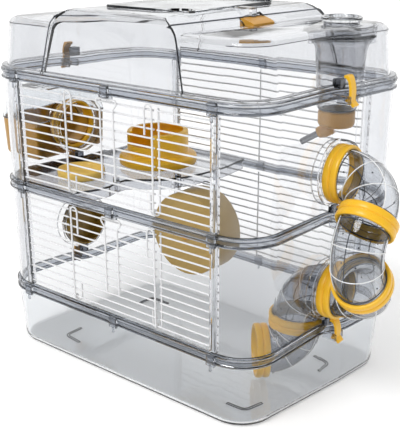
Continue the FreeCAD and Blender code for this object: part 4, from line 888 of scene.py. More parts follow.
print("height of the tub:", max(z for inset, z in TUB_SECTION))

# %% [markdown]
# ## Corner marks of the floor
# Four angled marks, one in each corner, are raised on the tub's floor. They could be cut into the tray
# by Boolean steps. They are seen from above through clear walls, where only their outline shows, so
# each is drawn as a thin bead of painted shade along the outline of a narrow band.

# %% Floor marks
MARKS = (
    ((-106.4, -85.3), (-131.9, -82.6), (-130.9, -58.3)),
    ((-121.5, 36.7), (-120.2, 61.2), (-91.3, 60.5)),
    ((131.5, 59.1), (154.5, 53.8), (153.6, 33.1)),
    ((112.2, -83.1), (134.7, -82.2), (141.0, -60.3)),
)


def floor_mark(corner, half=1.3, z=2.9, radius=0.65):
    """A raised corner mark: the outline of a narrow band bent round a corner."""
    a, b, c = (Vector((*spot, z)) for spot in corner)
    near, far = a.lerp(b, 0.72), b.lerp(c, 0.28)
    line = [a, *(near.lerp(b, k / 5).lerp(b.lerp(far, k / 5), k / 5) for k in range(6)), c]
    sides = [[], []]
    for i, spot in enumerate(line):
        along = (line[min(i + 1, len(line) - 1)] - line[max(i - 1, 0)]).normalized()
        across = Vector((-along.y, along.x, 0)) * half
        sides[0].append(spot + across)
        sides[1].append(spot - across)
    return tube([*sides[0], *reversed(sides[1]), sides[0][0]], radius, 6)


# The marks' dark beads are painted shade.
marks = make_piece("tub_floor_marks", [floor_mark(corner) for corner in MARKS], painted_shade_groove, "cage")
print(marks.name, len(marks.data.polygons))

# %% [markdown]
# ## Rows of the tub's wall
# The tub's steep walls get a row of points every few millimetres, so that the slant can move out
# smoothly. Two rows, at the top and the floor, would be enough for a plain tray, but here they would
# leave long twisted faces that show as a pale patch in clear plastic.

# %% Sweep the tub
ROW_STEP = 5.0
section = []
for (i1, z1), (i2, z2) in zip(TUB_SECTION, TUB_SECTION[1:] + TUB_SECTION[:1]):
    steps = max(round(abs(z2 - z1) / ROW_STEP), 1)
    section += [(i1 + (i2 - i1) * k / steps, z1 + (z2 - z1) * k / steps) for k in range(steps)]
section = section[:section.index(TUB_SECTION[-1]) + 1]
points, faces = swept(section, floor=True)
count = len(points) // len(section)
points = [straightened(p, section[i // count][0]) for i, p in enumerate(points)]
made = make_piece("tub_tray", [(points, faces)], crystal, "cage", "tub", crease=30)
print(made.name, len(made.data.polygons))

# %% [markdown]
# ## Cutting and joining moulded shapes
# Holes and the union of two moulded volumes are made by Boolean steps on plain closed parts, as a
# toolmaker would cut them from the mould. Modelling every hole's edge by hand would be slower and less
# exact. Each step gives back points and faces again, so steps can follow each other.

# %% Boolean helper
def loose(part):
    """A temporary object in millimetres for a Boolean step."""
    mesh = bpy.data.meshes.new("loose")
    mesh.from_pydata([Vector(p) for p in part[0]], [], part[1])
    mesh.validate()
    face_outwards(mesh)
    made = bpy.data.objects.new("loose", mesh)
    scene.collection.objects.link(made)
    return made


def combine(first, second, how):
    """UNION, DIFFERENCE or INTERSECT of two closed parts, as one part."""
    one, two = loose(first), loose(second)
    step = one.modifiers.new("step", "BOOLEAN")
    step.operation = how
    step.solver = "EXACT"
    step.object = two
    bpy.context.view_layer.update()
    result = one.evaluated_get(bpy.context.evaluated_depsgraph_get()).to_mesh()
    points = [v.co.copy() for v in result.vertices]
    faces = [tuple(face.vertices) for face in result.polygons]
    for used in (one, two):
        mesh = used.data
        bpy.data.objects.remove(used)
        bpy.data.meshes.remove(mesh)
    return points, faces


def stack(levels):
    """A closed solid through the plan at (inset, height) levels."""
    return swept(levels, floor=True)


print("Boolean helper ready")

# %% [markdown]
# ## End panels
# Each storey's end wall is one clear moulding: a thin wall that follows the plan between the two corner
# posts. It could be cut out of a whole swept ring. Lofting only the stretch between the posts needs no
# cut, and half of the plan's points are just that stretch.

# %% Shape of the end wall
WALL_OUT, WALL_IN, WALL_HIGH = 3.5, 5.5, 114.5


def flank(inset, y):
    """X of the right-hand end wall at this y."""
    line = [p for p in plan(inset, 0) if p.x > 150]
    for here, there in zip(line, line[1:]):
        if here.y <= y <= there.y and there.y > here.y:
            return here.x + (there.x - here.x) * (y - here.y) / (there.y - here.y)
    return line[0].x


def end_wall(low, high):
    """The right-hand wall between its posts."""
    half = len(plan(0, 0)) // 2
    rings = []
    for inset, z in ((WALL_OUT, low), (WALL_OUT, high), (WALL_IN, high), (WALL_IN, low)):
        y = HALF_DEPTH - inset
        rings.append([Vector((POST_X[2], -y, z)), *plan(inset, z)[:half], Vector((-POST_X[0], y, z))])
    return loft([list(spots) for spots in zip(*rings)])


print("faces of an end wall:", len(end_wall(0, WALL_HIGH)[1]))

# %% [markdown]
# ## Sockets of the ports
# A round socket in each end wall takes a tube ring. It stands out of the wall at the front and sinks
# into it at the back, because the wall is slanted there, so its rim's depth follows the wall. A turned
# ring pushed through the wall would leave a gap or a step there, so its points are placed from the
# wall, one spoke at a time.

# %% Shape of a socket
PORT_Y, PORT_H = PORT.y, PORT.z - LEVELS[1]
SOCKET_R, BORE_R = (32.0, 34.0), 28.9


def socket(middle, steps=72):
    """The port's ring: a plate with a hole, and a skirt whose ends follow the slanted wall."""
    inner, outer = SOCKET_R
    points, faces = [], []
    for k in range(steps):
        angle = 2 * math.pi * k / steps
        y, z = math.cos(angle), math.sin(angle)
        rim = [max(flank(WALL_OUT, PORT_Y + r * y), 176.9) for r in SOCKET_R]
        back = [min(flank(WALL_IN, PORT_Y + r * y), 173.9) for r in SOCKET_R]
        for r, x in ((BORE_R, 174.4), (BORE_R, 176.5), (29.1, 176.7), (inner, 176.7), (inner, rim[0]),
                     (outer, rim[1]), (outer, back[1]), (inner, back[0]), (inner, 174.2), (29.1, 174.2)):
            points.append(Vector((x, PORT_Y + r * y, middle + r * z)))
    for k in range(steps):
        here, there = k * 10, (k + 1) % steps * 10
        faces += [(here + i, there + i, there + (i + 1) % 10, here + (i + 1) % 10) for i in range(10)]
    return points, faces


print("wall at the socket's middle:", round(flank(WALL_OUT, PORT_Y), 1))

# %% [markdown]
# ## Two storeys of panels
# One panel is built per storey at the right, and a half turn gives the left one, just as one mould
# makes both. The corner posts are blocks. The keepers, which the clips close against, are a piece of
# their own in painted shade, because a thick lump of styrene looks darker than a thin wall.

# %% Build the end panels
KEEPER_X, KEEPER_Y = 178.4, (1.5, 11.5)


def keeper(x, low, high):
    """The block that a clip's hook closes against."""
    return block((x, KEEPER_Y[0], low), (KEEPER_X, KEEPER_Y[1], high), 0.4)


for low, high in zip(LEVELS, HIGH_NAMES):
    middle = low + PORT_H
    bore = disc(33.0, (150, PORT_Y, middle), (1, 0, 0), 50)
    parts = [combine(end_wall(low, low + WALL_HIGH), bore, "DIFFERENCE"), socket(middle)]
    # The keepers' dark styrene is painted shade.
    catch = keeper(172.5, low + 0.2, low + 9.0)
    make_piece(high + "_keepers", [catch, half_turned(catch)], painted_shade_fold, "cage", crease=30)
    for x, y in ((POST_X[2], -119.6), (-POST_X[0], 112.4)):
        parts.append(block((x - 4, y, low), (x + 4, y + 7.2, low + WALL_HIGH), 0.9))
    for side, turned in (("right", parts), ("left", [half_turned(part) for part in parts])):
        made = make_piece("%s_%s_wall" % (high, side), turned, panel_styrene, "cage",
                          "%s_%s_panel" % (high, side), crease=25)
        print(made.name, len(made.data.polygons))

# %% [markdown]
# ## Lid
# The lid is one clear dome: a low roof at each end and a raised bridge over the middle, a little askew
# to the cage. It could be one mesh thickened by a solidify modifier, but that crosses itself where the
# bridge meets the roof. So two solids, one 2 mm inside the other, are subtracted to leave the wall.

# %% Shapes of the lid
LID_WALL = 2.0
SIDE_ROOF = ((7.0, 329.3), (12.6, 374.0), (13.1, 377.4), (14.4, 380.0), (17.0, 382.0), (21.0, 383.0))
BRIDGE_WALL = ((5.0, 329.3), (9.0, 380.0), (10.0, 385.6), (11.8, 390.2), (14.4, 393.8), (18.0, 396.2),
               (22.0, 397.0))
BRIDGE_HALF = ((95.0, 329.3), (84.0, 377.0), (82.6, 381.5), (80.0, 385.4), (76.0, 389.0), (70.6, 392.6),
               (64.6, 395.6), (58.0, 397.0))
LID_FOOT = [(1.8, 329.3), (1.4, 329.7), (1.4, 331.8), (1.9, 332.3), (7.6, 332.3), (9.0, 331.0), (9.0, 329.3)]
BRIDGE_TURN = math.radians(6.7)
SKEW = Matrix.Rotation(-BRIDGE_TURN, 3, "Z")
BOTTLE = Vector((145.0, 58.0, 0.0))


def smaller(levels, wall, sign=1):
    """The same levels moved in by the wall; the lowest one is carried down to open the shell."""
    return [(a + sign * wall, z - (wall if i else 1.0)) for i, (a, z) in enumerate(levels)]


def bridge(wall):
    """The raised band, cut from a tunnel that runs askew over the cage."""
    half = smaller(BRIDGE_HALF, wall, -1) if wall else list(BRIDGE_HALF)
    outline = half + [(-x, z) for x, z in reversed(half)]
    tunnel = loft([[SKEW @ Vector((x, y, z)) for x, z in outline] for y in (-170, 170)])
    return combine(tunnel, stack(smaller(BRIDGE_WALL, wall) if wall else BRIDGE_WALL), "INTERSECT")


def rounded(half_x, front, back, radius, low, high, steps=6):
    """An upright block with a rounded rectangular outline."""
    outline = []
    for x, y, start in ((half_x, back, 0), (-half_x, back, 90), (-half_x, front, 180), (half_x, front, 270)):
        centre = Vector((x - math.copysign(radius, x), y - math.copysign(radius, y), 0))
        for k in range(steps + 1):
            angle = math.radians(start + 90 * k / steps)
            outline.append(centre + Vector((radius * math.cos(angle), radius * math.sin(angle), 0)))
    return loft([[Vector((p.x, p.y, z)) for p in outline] for z in (low, high)])


print("points of an opening:", len(rounded(50, -50, 50, 8, 0, 1)[0]))

# %% [markdown]
# ## Dome and its openings
# The dome is made as a toolmaker would think of it: the outer form, less the inner form, less the
# openings for the hatch, the bottle and the latch. Cutting the openings last keeps their edges clean
# through both skins.

# %% Cut the dome
outer_dome = combine(stack(SIDE_ROOF), bridge(0), "UNION")
inner_dome = combine(stack(smaller(SIDE_ROOF, LID_WALL)), bridge(LID_WALL), "UNION")
dome = combine(outer_dome, inner_dome, "DIFFERENCE")
hatchway = rounded(50.0, -68.0, 62.0, 8.0, 380, 410)
bottle_hole = disc(18.3, (BOTTLE.x, BOTTLE.y, 360), UP, 60)
latch_slot = block((72.2, -17.3, 379.7), (93.8, 19.3, 399.0), 0.3)
for opening in (hatchway, bottle_hole, latch_slot):
    dome = combine(dome, opening, "DIFFERENCE")
print("faces of the dome:", len(dome[1]))

# %% [markdown]
# ## Lid's foot, bottle socket and hinge lugs
# A foot with a rounded edge runs round the lid and sits on the top rim, a turned socket under the
# roof takes the bottle, and four lugs hold the hatch's pins. They could be joined to the dome by
# Boolean steps too. They only touch or sink into it, so putting them in the same mesh is enough.

# %% Foot, socket and lugs of the lid
BAYONET = [(32.4, 366.2), (34.4, 366.2), (34.4, 381.2), (30.5, 381.2), (30.5, 374.3), (32.4, 374.3)]
HINGE_X, HINGE_Y, HINGE_Z = (-30.8, 30.8), 72, 399.2
LUG = [(1.7, 0), (3.4, 0), (3.4, 6), (1.7, 6)]
lid_parts = [dome, swept(LID_FOOT), lathe(BAYONET, 64, BOTTLE)]
# The lid's keepers are painted shade too.
catch = keeper(169.5, 329.6, 338.3)
make_piece("lid_keepers", [catch, half_turned(catch)], painted_shade_fold, "lid", crease=30)
for middle in HINGE_X:
    for start in (middle - 18.3, middle + 12.3):
        lid_parts.append(lathe(LUG, 24, (start, HINGE_Y, HINGE_Z), (1, 0, 0)))
made = make_piece("lid_dome", lid_parts, panel_styrene, "lid", "lid", crease=28)
print(made.name, len(made.data.polygons))

# %% [markdown]
# ## Folds of the lid
# Thick clear styrene traps light along a fold and looks dark there. A rendered fold of a thin wall
# stays pale, so a fine bead of painted shade follows each fold: two along the bridge's edges, from foot
# to foot, and two where the low roof's wall turns level. Their points follow the levels of the dome, so
# they lie on it.

# %% Folds of the lid
FOLD_STOPS = (-112.6, -108.0, -90.0, -45.0, 0.0, 45.0, 90.0, 108.0, 112.6)
ROOF_FOLD_INSET, ROOF_FOLD_Z, ROOF_FOLD_FROM = 13.0, 377.0, 88.0


def at_height(levels, z):
    """The first value of (value, height) levels at this height."""
    for (a1, z1), (a2, z2) in zip(levels, levels[1:]):
        if z1 <= z <= z2:
            found = a1 + (a2 - a1) * (z - z1) / (z2 - z1)
    return found


def over_bridge(across, y, z):
    """A point `across` from the bridge's middle line, measured square to it."""
    along = (y + across * math.sin(BRIDGE_TURN)) / math.cos(BRIDGE_TURN)
    return Vector((across * math.cos(BRIDGE_TURN) + along * math.sin(BRIDGE_TURN), y, z))


def fold_line(side):
    """The bead along one edge of the bridge, from the front foot over the roof to the back foot."""
    walls = []
    for wall_side in (-1, 1):
        line = []
        for z in (330.5 + 57 * k / 12 for k in range(13)):
            y = wall_side * (HALF_DEPTH - at_height(BRIDGE_WALL, z))
            line.append(over_bridge(side * at_height(BRIDGE_HALF, z), y, z))
        walls.append(line)
    top = [over_bridge(side * 74.6, y, 390.2 if abs(y) < 110 else 388.8) for y in FOLD_STOPS]
    return [*walls[0], *top, *reversed(walls[1])]


# The bridge's fold beads are painted shade.
for side, word in ((1, "right"), (-1, "left")):
    make_piece("bridge_fold_" + word, [tube(fold_line(side), 0.8, 8)], painted_shade_fold, "lid")
# So are the beads where the low roof turns level.
edge = [p for p in plan(ROOF_FOLD_INSET, ROOF_FOLD_Z, between=6) if p.x > ROOF_FOLD_FROM]
gap = max(range(len(edge)), key=lambda i: (edge[i] - edge[i - 1]).length)
bead = tube(edge[gap:] + edge[:gap], 0.4, 6)
far_bead = tube([Vector((-p.x, -p.y, p.z)) for p in edge[gap:] + edge[:gap]], 0.4, 6)
make_piece("roof_fold", [bead, far_bead], painted_shade_fold, "lid")
print("points along a fold:", len(fold_line(1)))

# %% [markdown]
# ## Hatch and its latch
# The hatch is a flat clear door over the bridge, hinged at the back on two pins and held at one side by
# a sliding amber latch whose clear tongue reaches over its edge. A sheet this thin barely shows, so a
# fine line of painted shade follows its edge, where the cut edge of clear plastic looks dark. The hinge
# pins and two slots by the hinge are drawn in painted shade too. The latch alone keeps a bevel modifier,
# since it is a solid block that nothing else is cut from.

# %% Hatch and latch
HATCH_LOW, HATCH_TOP = 397.3, 399.7
KNUCKLE = [(0, 0), (3.4, 0), (3.4, 24), (0, 24)]
LATCH_SIDE = [(72.5, 380.0), (90.5, 380.0), (90.5, 384.6), (87.5, 386.4), (78.5, 389.4), (72.5, 389.4)]
thumb_notch = disc(16.0, (38, -72, 390), UP, 20)
hatch_parts = [combine(rounded(56.0, -74.0, 68.0, 7.0, HATCH_LOW, HATCH_TOP), thumb_notch, "DIFFERENCE")]
for middle in HINGE_X:
    hatch_parts.append(lathe(KNUCKLE, 24, (middle - 12, HINGE_Y, HINGE_Z), (1, 0, 0), closed=False))
    hatch_parts.append(block((middle - 12, 64, 397.4), (middle + 12, 71, 399.6), 0.4))
make_piece("hatch_plate", hatch_parts, crystal, "lid_hatch", "lid_hatch", crease=30)
# The edge line is painted shade.
edge = rounded(55.3, -73.3, 67.3, 6.5, 398.5, 399.0)[0][:28]
make_piece("hatch_edge_line", [tube([*edge, edge[0]], 0.5, 6)], painted_shade_fold, "lid_hatch")
# The hinge pins and slots are drawn in painted shade.
pins = [tube([(middle - 18, HINGE_Y, HINGE_Z), (middle + 18, HINGE_Y, HINGE_Z)], 1.6, 12)
        for middle in HINGE_X]
slots = [block((x - 14, 68.6, HATCH_TOP), (x + 14, 71.0, 400.6), 0.3) for x in (-38.0, 36.0)]
make_piece("hatch_hinge_lines", pins + slots, painted_shade_fold, "lid_hatch")
latch = loft([[Vector((x, y, z)) for x, z in LATCH_SIDE] for y in (-17.0, 19.0)])
ribs = [block((73.0, y, 388.8), (79.0, y + 1.6, 390.0), 0.4) for y in range(-12, 13, 4)]
tongue = [block((56.3, -4.0, HATCH_LOW), (78.5, 6.0, 399.0), 0.8),
          block((74.5, -4.0, 389.0), (78.5, 6.0, 398.0), 0.8)]
make_piece("latch_tongue", tongue, panel_styrene, "hatch_latch", crease=25)
made = make_piece("latch_slider", [latch, *ribs], amber, "hatch_latch", "hatch_latch", crease=25)
bevel = made.modifiers.new("soft_edges", "BEVEL")
bevel.width, bevel.segments = 0.0006, 2
print(made.name, len(made.data.polygons))

# %% [markdown]
# ## Water bottle
# The bottle hangs upside down from the lid: a tapered blow-moulded body with a wide flange, a screwed
# refill cap above the roof, and an amber screw cap below with the drinking tube and its ball. All of it
# is round, so a closed half section turned on the lathe gives wall, flange and neck at once. A screw
# modifier would do the same; the lathe can also turn about the slanted axis of the drinking tube.

# %% Profiles of the bottle
BODY = [(17.5, 284.0), (17.5, 296.0), (20.6, 297.2), (22.0, 300.0), (24.0, 330.0), (26.0, 357.0),
        (27.4, 361.5), (31.0, 369.0), (32.0, 370.2), (32.0, 373.4), (31.4, 374.0), (18.6, 374.0),
        (18.0, 374.6), (18.0, 385.5), (16.4, 385.5), (16.4, 372.4), (29.8, 372.4), (29.8, 371.0),
        (26.0, 364.4), (24.4, 358.0), (22.4, 330.0), (20.4, 300.6), (19.4, 299.0), (15.9, 297.4),
        (15.9, 284.0)]
TINT = [(23.6, 336.0), (24.1, 358.0), (25.6, 363.6), (25.0, 363.6), (23.5, 358.0), (23.0, 336.0)]
SHOULDER = [(32.0, 370.4), (32.5, 371.0), (32.5, 373.0), (32.0, 373.8), (31.4, 372.2)]
REFILL = [(0, 385.8), (19.8, 385.8), (20.5, 386.5), (20.5, 389.4), (19.4, 390.8), (17.0, 390.8),
          (16.2, 390.0), (15.4, 387.8), (0, 387.8)]
CAP = [(0, 278.7), (16.0, 278.7), (18.6, 279.8), (20.0, 282.2), (20.0, 294.6), (18.9, 295.7),
       (17.7, 295.7), (17.7, 283.8), (0, 283.8)]
NOZZLE = [(3.5, 6.0), (7.6, 6.0), (7.2, 10.0), (6.1, 20.0), (5.4, 22.0), (3.5, 22.0)]
SPOUT = [(2.8, 0), (3.4, 0), (3.4, 33.2), (3.1, 34.0), (2.6, 34.0), (2.8, 32.6)]
BALL_R = 2.64
DIP, WAY = math.radians(120), math.radians(205)
AIM = Vector((math.sin(DIP) * math.cos(WAY), math.sin(DIP) * math.sin(WAY), math.cos(DIP)))


def bars_round(count, radius, low, high, thick):
    """Upright bars in a circle round the bottle."""
    bars = []
    for k in range(count):
        angle = 2 * math.pi * k / count
        x, y = BOTTLE.x + radius * math.cos(angle), BOTTLE.y + radius * math.sin(angle)
        bars.append(tube([(x, y, low), (x, y, high)], thick, 6))
    return bars


print("drinking tube points along", [round(v, 2) for v in AIM])

# %% [markdown]
# ## Bottle, caps and spout
# The caps have fine upright grips, which could be a bump in the material. They are modelled as thin
# bars in a circle, because their outline shows against the light. A faintly tinted inner skin greys the
# upper body, and a dark line of painted shade runs round the flange.

# %% Bottle, caps and spout
make_piece("bottle_blow_moulding", [lathe(BODY, 72, BOTTLE)], bottle_styrene,
           "bottle", "bottle_body", crease=30)
make_piece("bottle_inner_tint", [lathe(TINT, 72, BOTTLE)], bottle_tint, "bottle", crease=40)
# The flange line is painted shade.
make_piece("bottle_flange_line", [lathe(SHOULDER, 64, BOTTLE)], painted_shade_fold, "bottle")
refill = [lathe(REFILL, 72, BOTTLE, closed=False), *bars_round(36, 20.2, 386.4, 389.6, 0.28)]
make_piece("refill_screw_cap", refill, FINISH[slot_of["refill_cap"]],
           "refill_cap", "refill_cap", crease=30)
root = BOTTLE + UP * 280.6
cap = [lathe(CAP, 72, BOTTLE, closed=False), lathe(NOZZLE, 40, root, AIM)]
cap += bars_round(30, 19.7, 283.0, 294.4, 0.45)
make_piece("bottle_screw_cap", cap, amber, "bottle", "bottle_cap", crease=30)
made = make_piece("drinking_tube", [lathe(SPOUT, 32, root + AIM * 8.3, AIM)], steel,
                  "bottle", "bottle_spout")
ball = [(BALL_R * math.cos(math.radians(a)), BALL_R * math.sin(math.radians(a))) for a in range(-90, 91, 15)]
make_piece("drinking_ball", [lathe(ball, 24, root + AIM * 40.3, AIM, closed=False)], steel,
           "bottle", "spout_ball")
print(made.name, [round(v, 1) for v in root + AIM * 42.3])

# %% [markdown]
# ## Clips
# Six levers, yellow at the right and amber at the left, pivot on pins between the rims' ears. A clip is
# a bowed strap with a hook at its top and a finger tab at its foot, moulded in one piece of springy
# polypropylene. Its side view has all of its shape, so that outline is carried across its width, with
# softened ends. A bevel modifier would also round the hook's thin nose, which should stay crisp.

# %% Clips
CLIP_X, PIN_DROP, BARREL_R = 187.4, 9.0, 2.5


def prism(outline, low, high, soften):
    """An (x, z) outline carried along Y, with softened end edges."""
    count = len(outline)
    spots = [Vector((x, 0, z)) for x, z in outline]
    inward = []
    for i, spot in enumerate(spots):
        before = (spot - spots[i - 1]).normalized()
        after = (spots[(i + 1) % count] - spot).normalized()
        heading = (before + after).normalized()
        inward.append(Vector((-heading.z, 0, heading.x)))
    return loft([[spot + way * pull + Vector((0, y, 0)) for spot, way in zip(spots, inward)]
                 for y, pull in ((low, soften), (low + soften, 0), (high - soften, 0), (high, soften))])


def clip_outline(top, reach):
    """Hook, bowed strap, barrel and tab, seen from the front, going round anticlockwise."""
    high = PIN_DROP + reach
    bow = []
    for k in range(13):
        t = k / 12
        bow.append((2.5 - 3.7 * t + 4 * 2.0 * t * (1 - t), high * t))
    outer = bow[1:-1] + [(-1.4, high - 0.5), (-2.0, high)]
    hook = [(-5.4, high), (-6.0, high - 0.6), (-6.0, high - 2.4), (-5.6, high - 2.8), (-4.5, high - 2.8),
            (-3.9, high - 3.2)]
    inner = [(x - 2.8, z) for x, z in reversed(bow[1:-3])]
    barrel = [(BARREL_R * math.cos(math.radians(a)), BARREL_R * math.sin(math.radians(a)))
              for a in (175, 200, 225, 245)]
    tab = [(0.4, -2.6), (4.4, -6.6), (5.2, -6.8), (6.6, -5.4), (6.4, -4.6), (2.8, -1.0)]
    return [(CLIP_X + x, top - PIN_DROP + z) for x, z in outer + hook + inner + barrel + tab]


for index, word in enumerate(("tub", "middle", "lid")):
    top = LEVELS[0] + PITCH * index
    lever = prism(clip_outline(top, 14.0 if word == "lid" else 9.5), *KEEPER_Y, 0.5)
    pin = tube([(CLIP_X, -1.5, top - PIN_DROP), (CLIP_X, 14.5, top - PIN_DROP)], 1.5, 16)
    for side, turned in (("right", [lever, pin]), ("left", [half_turned(lever), half_turned(pin)])):
        name = "%s_clip_%s" % (word, side)
        finish = yellow if side == "right" else amber
        made = make_piece(name + "_lever", turned, finish, name, name, crease=35)
print(made.name, len(made.data.polygons))

# %% [markdown]
# ## Bowl and toilet
# A shallow food bowl and a round toilet with a step and a doorway stand on the shelf. Both are turned
# mouldings with rounded lips, so they are made on the lathe from half a section that ends on the axis.
# The doorway is cut from the turned wall afterwards, as a lathe can only make what is round.

# %% Bowl and toilet
BOWL_AT, TOILET_AT, WHEEL_AT = (-114, -62, 204), (-86, 40, 204), Vector((-7, -5, 140))
BOWL = [(0, 0), (24.6, 0), (26.4, 1.2), (27.0, 3.2), (27.0, 8.4), (26.5, 9.6), (25.5, 10.0), (24.6, 9.5),
        (23.8, 8.2), (20.6, 3.8), (18.8, 2.6), (16.0, 2.1), (0, 2.0)]
make_piece("bowl_moulding", [lathe(BOWL, 72, BOWL_AT, closed=False)], pale,
           "food_bowl", "food_bowl", crease=50)
TOILET = [(0, 0), (45.0, 0), (46.6, 0.7), (47.0, 2.2), (47.0, 7.6), (46.2, 9.6), (44.4, 10.8),
          (39.0, 11.6), (37.4, 12.8), (37.0, 15.0), (37.0, 37.6), (36.4, 39.2), (35.0, 40.0),
          (31.0, 40.0), (31.0, 38.0), (34.4, 38.0), (35.0, 37.4), (35.0, 2.6), (34.4, 2.0), (0, 2.0)]
doorway = block((-103, -20, 228.8), (-69, 40, 250), 0.2)
toilet = combine(lathe(TOILET, 96, TOILET_AT, closed=False), doorway, "DIFFERENCE")
make_piece("toilet_moulding", [toilet], yellow, "toilet", "toilet", crease=35)
print("bowl and toilet at", BOWL_AT, TOILET_AT)

# %% [markdown]
# ## Wheel
# The exercise wheel is a drum that is open at the back: a flat disc with spokes, a rim with treads, and
# a hub. The treads could be an array round the hub. A loop that sets each bar by its angle keeps them
# in the same mesh as the drum, as they are one moulding.

# %% Wheel
TREADS, TREAD_R, SPOKES = 48, 46.6, 10
WHEEL = [(3.1, 0), (10.0, 0), (46.6, 0), (48.4, 0.6), (49.0, 2.2), (49.0, 39.4), (48.6, 40.0),
         (47.4, 40.0), (47.0, 39.4), (47.0, 2.6), (46.4, 2.0), (7.8, 2.0), (7.0, 2.8), (7.0, 11.6),
         (6.6, 12.0), (3.1, 12.0)]
parts = [lathe(WHEEL, 96, WHEEL_AT, (0, 1, 0))]
for k in range(TREADS):
    angle = 2 * math.pi * k / TREADS
    x, z = WHEEL_AT.x + TREAD_R * math.cos(angle), WHEEL_AT.z + TREAD_R * math.sin(angle)
    parts.append(tube([(x, -2.5, z), (x, 34.5, z)], 0.7, 6))
hub = Vector((WHEEL_AT.x, -2.9, WHEEL_AT.z))
for k in range(SPOKES):
    angle = 2 * math.pi * k / SPOKES
    out = Vector((math.cos(angle), 0, math.sin(angle)))
    parts.append(tube([hub + out * 8, hub + out * 46.4], 0.8, 8))
make_piece("wheel_moulding", parts, beige, "wheel", "wheel", crease=45)
print("wheel at", tuple(WHEEL_AT))

# %% [markdown]
# ## Plug
# A plug closes the lower left port, where another tube could start. It is a cup with a flange, a fine
# raised ring round its face and a grip across it. The cup and the ring are turned. The grip isn't
# round, so it is a block that sinks a little into the face.

# %% Plug
PLUG = [(0, 0), (28.9, 0), (29.5, 0.6), (29.5, 2.4), (28.6, 3.0), (28.6, 15.0), (26.6, 15.0), (26.6, 3.4),
        (0, 3.4)]
PLUG_LINE = [(24, -0.5), (25, -0.9), (26, -0.5), (26, 0.3), (24, 0.3)]
plug_x = -(176.7 + 3.0 + 0.3)
plug_at = (plug_x, -PORT_Y, LEVELS[0] + PORT_H)
grip = block((plug_x - 8.4, -30.0, 117.2), (plug_x + 0.5, 17.0, 123.8), 1.2)
plug = [lathe(PLUG, 72, plug_at, (1, 0, 0), closed=False), grip, lathe(PLUG_LINE, 64, plug_at, (1, 0, 0))]
# The plug's darker amber is painted shade.
make_piece("plug_moulding", plug, amber_with_painted_shade, "port_plug", "port_plug", crease=35)
print("plug at", plug_at)

# %% [markdown]
# ## Edges of the shelf
# The shelf's moulded edge is thick styrene that looks dark from above, so a fine bead of painted shade
# follows every edge of its upper face. The edges are found in the imported solid, in place of a second
# outline that could drift from it: a side that only one upward face uses is a border. Two strips of
# painted shade near the left end stand for the dark bands there.

# %% Shelf edges
shelf = nodes["shelf"]
spots = [shelf.matrix_world @ v.co / MM for v in shelf.data.vertices]
top = max(spot.z for spot in spots if spot.z < 204.5)
outline = {}
for face in shelf.data.polygons:
    corners = [spots[i] for i in face.vertices]
    if face.normal.z > 0.9 and all(abs(spot.z - top) < 0.01 for spot in corners):
        for here, there in zip(corners, corners[1:] + corners[:1]):
            key = frozenset((round(spot.x, 2), round(spot.y, 2)) for spot in (here, there))
            outline[key] = None if key in outline else (here, there)
ends = [pair for pair in outline.values() if pair and (pair[0] - pair[1]).length > 0.3]
# The edge beads are painted shade.
beads = [tube(pair, 0.4, 4) for pair in ends]
make_piece("shelf_edge_beads", beads, painted_shade_fold, "cage")
# Two strips of painted shade at the shelf's left end.
strips = [block((-184, -96, 203.0), (-154, -36, 204.2), 0.4),
          block((-176, -26, 203.0), (-152, 38, 204.2), 0.4)]
make_piece("shelf_painted_shade_strips", strips, painted_shade_fold, "cage")
print("shelf edges:", len(beads), "at", round(top, 2))

# %% [markdown]
# ## Nest house
# The nest hangs on the upper left port: an ochre tray with a stub of tube that goes into the ring, and
# a clear roof with vents that drops over the tray. Both are drawn with generous mould draft. A bevelled
# cube would have one corner radius; here the corners beside the cage are tighter than the far ones, so
# the walls are lofted through rounded rectangles.

# %% Shape of the nest
NEST_NEAR, NEST_FAR, NEST_FRONT, NEST_BACK = -199.0, -275.0, -52.0, 64.0
NEAR_RADIUS, FAR_RADIUS = 6.0, 24.0
PORT_AXIS, PORT_WAY = (-182.3, -PORT_Y, PORT.z), Vector((-1, 0, 0))
NECK = [(23.8, 0), (25.2, 0), (25.2, 19.6), (23.8, 19.6)]
TRAY = ((9.0, 203.0), (6.0, 203.5), (3.6, 205.2), (2.2, 208.0), (0.0, 250.0))
TRAY_INNER = ((11.0, 205.0), (8.0, 205.4), (5.8, 206.8), (4.2, 209.5), (2.0, 251.0))
ROOF = ((-0.9, 250.3), (0.4, 256.0), (5.8, 277.0), (7.4, 281.2), (10.0, 284.6), (13.0, 286.6), (16.5, 287.3))
ROOF_INNER = ((1.1, 249.0), (2.4, 256.0), (7.8, 276.4), (9.4, 279.8), (11.8, 282.8), (14.4, 284.6),
              (17.5, 285.3))
VENT_X = (-214, -222, -230, -238)


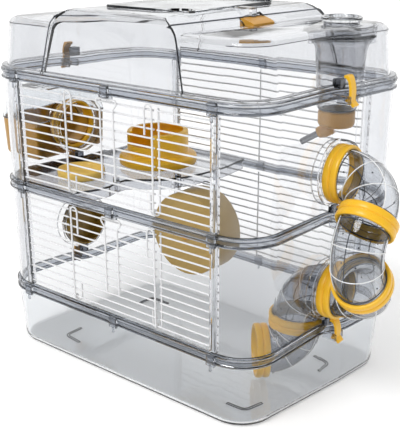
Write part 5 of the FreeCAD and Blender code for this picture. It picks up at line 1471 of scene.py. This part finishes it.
def nest_ring(inset, z, steps=8):
    """The nest's rounded rectangle at one height."""
    near, far = NEST_NEAR - inset, NEST_FAR + inset
    front, back = NEST_FRONT + inset, NEST_BACK - inset
    spots = []
    for x, y, start in ((near, back, 0), (far, back, 90), (far, front, 180), (near, front, 270)):
        radius = max((NEAR_RADIUS if x == near else FAR_RADIUS) - inset, 1.0)
        centre = Vector((x + (-radius if x == near else radius), y + (-radius if y == back else radius), z))
        for k in range(steps + 1):
            angle = math.radians(start + 90 * k / steps)
            spots.append(centre + Vector((radius * math.cos(angle), radius * math.sin(angle), 0)))
    return spots


def nest_shell(outer, inner, bore):
    """The wall between two stacks of rings, with a hole for the port."""
    solids = [loft([nest_ring(inset, z) for inset, z in levels]) for levels in (outer, inner)]
    return combine(combine(*solids, "DIFFERENCE"), disc(bore, PORT_AXIS, PORT_WAY, 34), "DIFFERENCE")


print("points round the nest:", len(nest_ring(0, 250)))

# %% [markdown]
# ## Tray and roof
# The tray and the roof each are a wall between an outer and an inner stack of outlines, with a hole for
# the port. The stub of tube is cut off at the height where the two meet, since it belongs to the tray.
# It could be left whole, but the roof couldn't drop over it. The vents are cut last, and a bead of
# painted shade marks the roof's lower edge.

# %% Tray and roof
low_half = block((-210, -40, 210), (-180, 30, 249.9), 0.1)
neck = combine(lathe(NECK, 64, PORT_AXIS, PORT_WAY), low_half, "INTERSECT")
tray = nest_shell(TRAY, TRAY_INNER, 23.8)
make_piece("nest_tray", [tray, neck], ochre, "cage", "house_base", crease=35)
roof = nest_shell(ROOF, ROOF_INNER, 25.5)
for x in VENT_X:
    roof = combine(roof, block((x - 1.6, -20, 280), (x + 1.6, 22, 290), 0.2), "DIFFERENCE")
make_piece("nest_roof", [roof], crystal, "house_roof", "house_roof", crease=30)
# The roof's edge bead is painted shade.
edge = nest_ring(-0.4, 250.9)
make_piece("nest_roof_edge", [tube([*edge, edge[0]], 0.5, 6)], painted_shade_fold, "house_roof")
print("nest tray faces:", len(tray[1]))
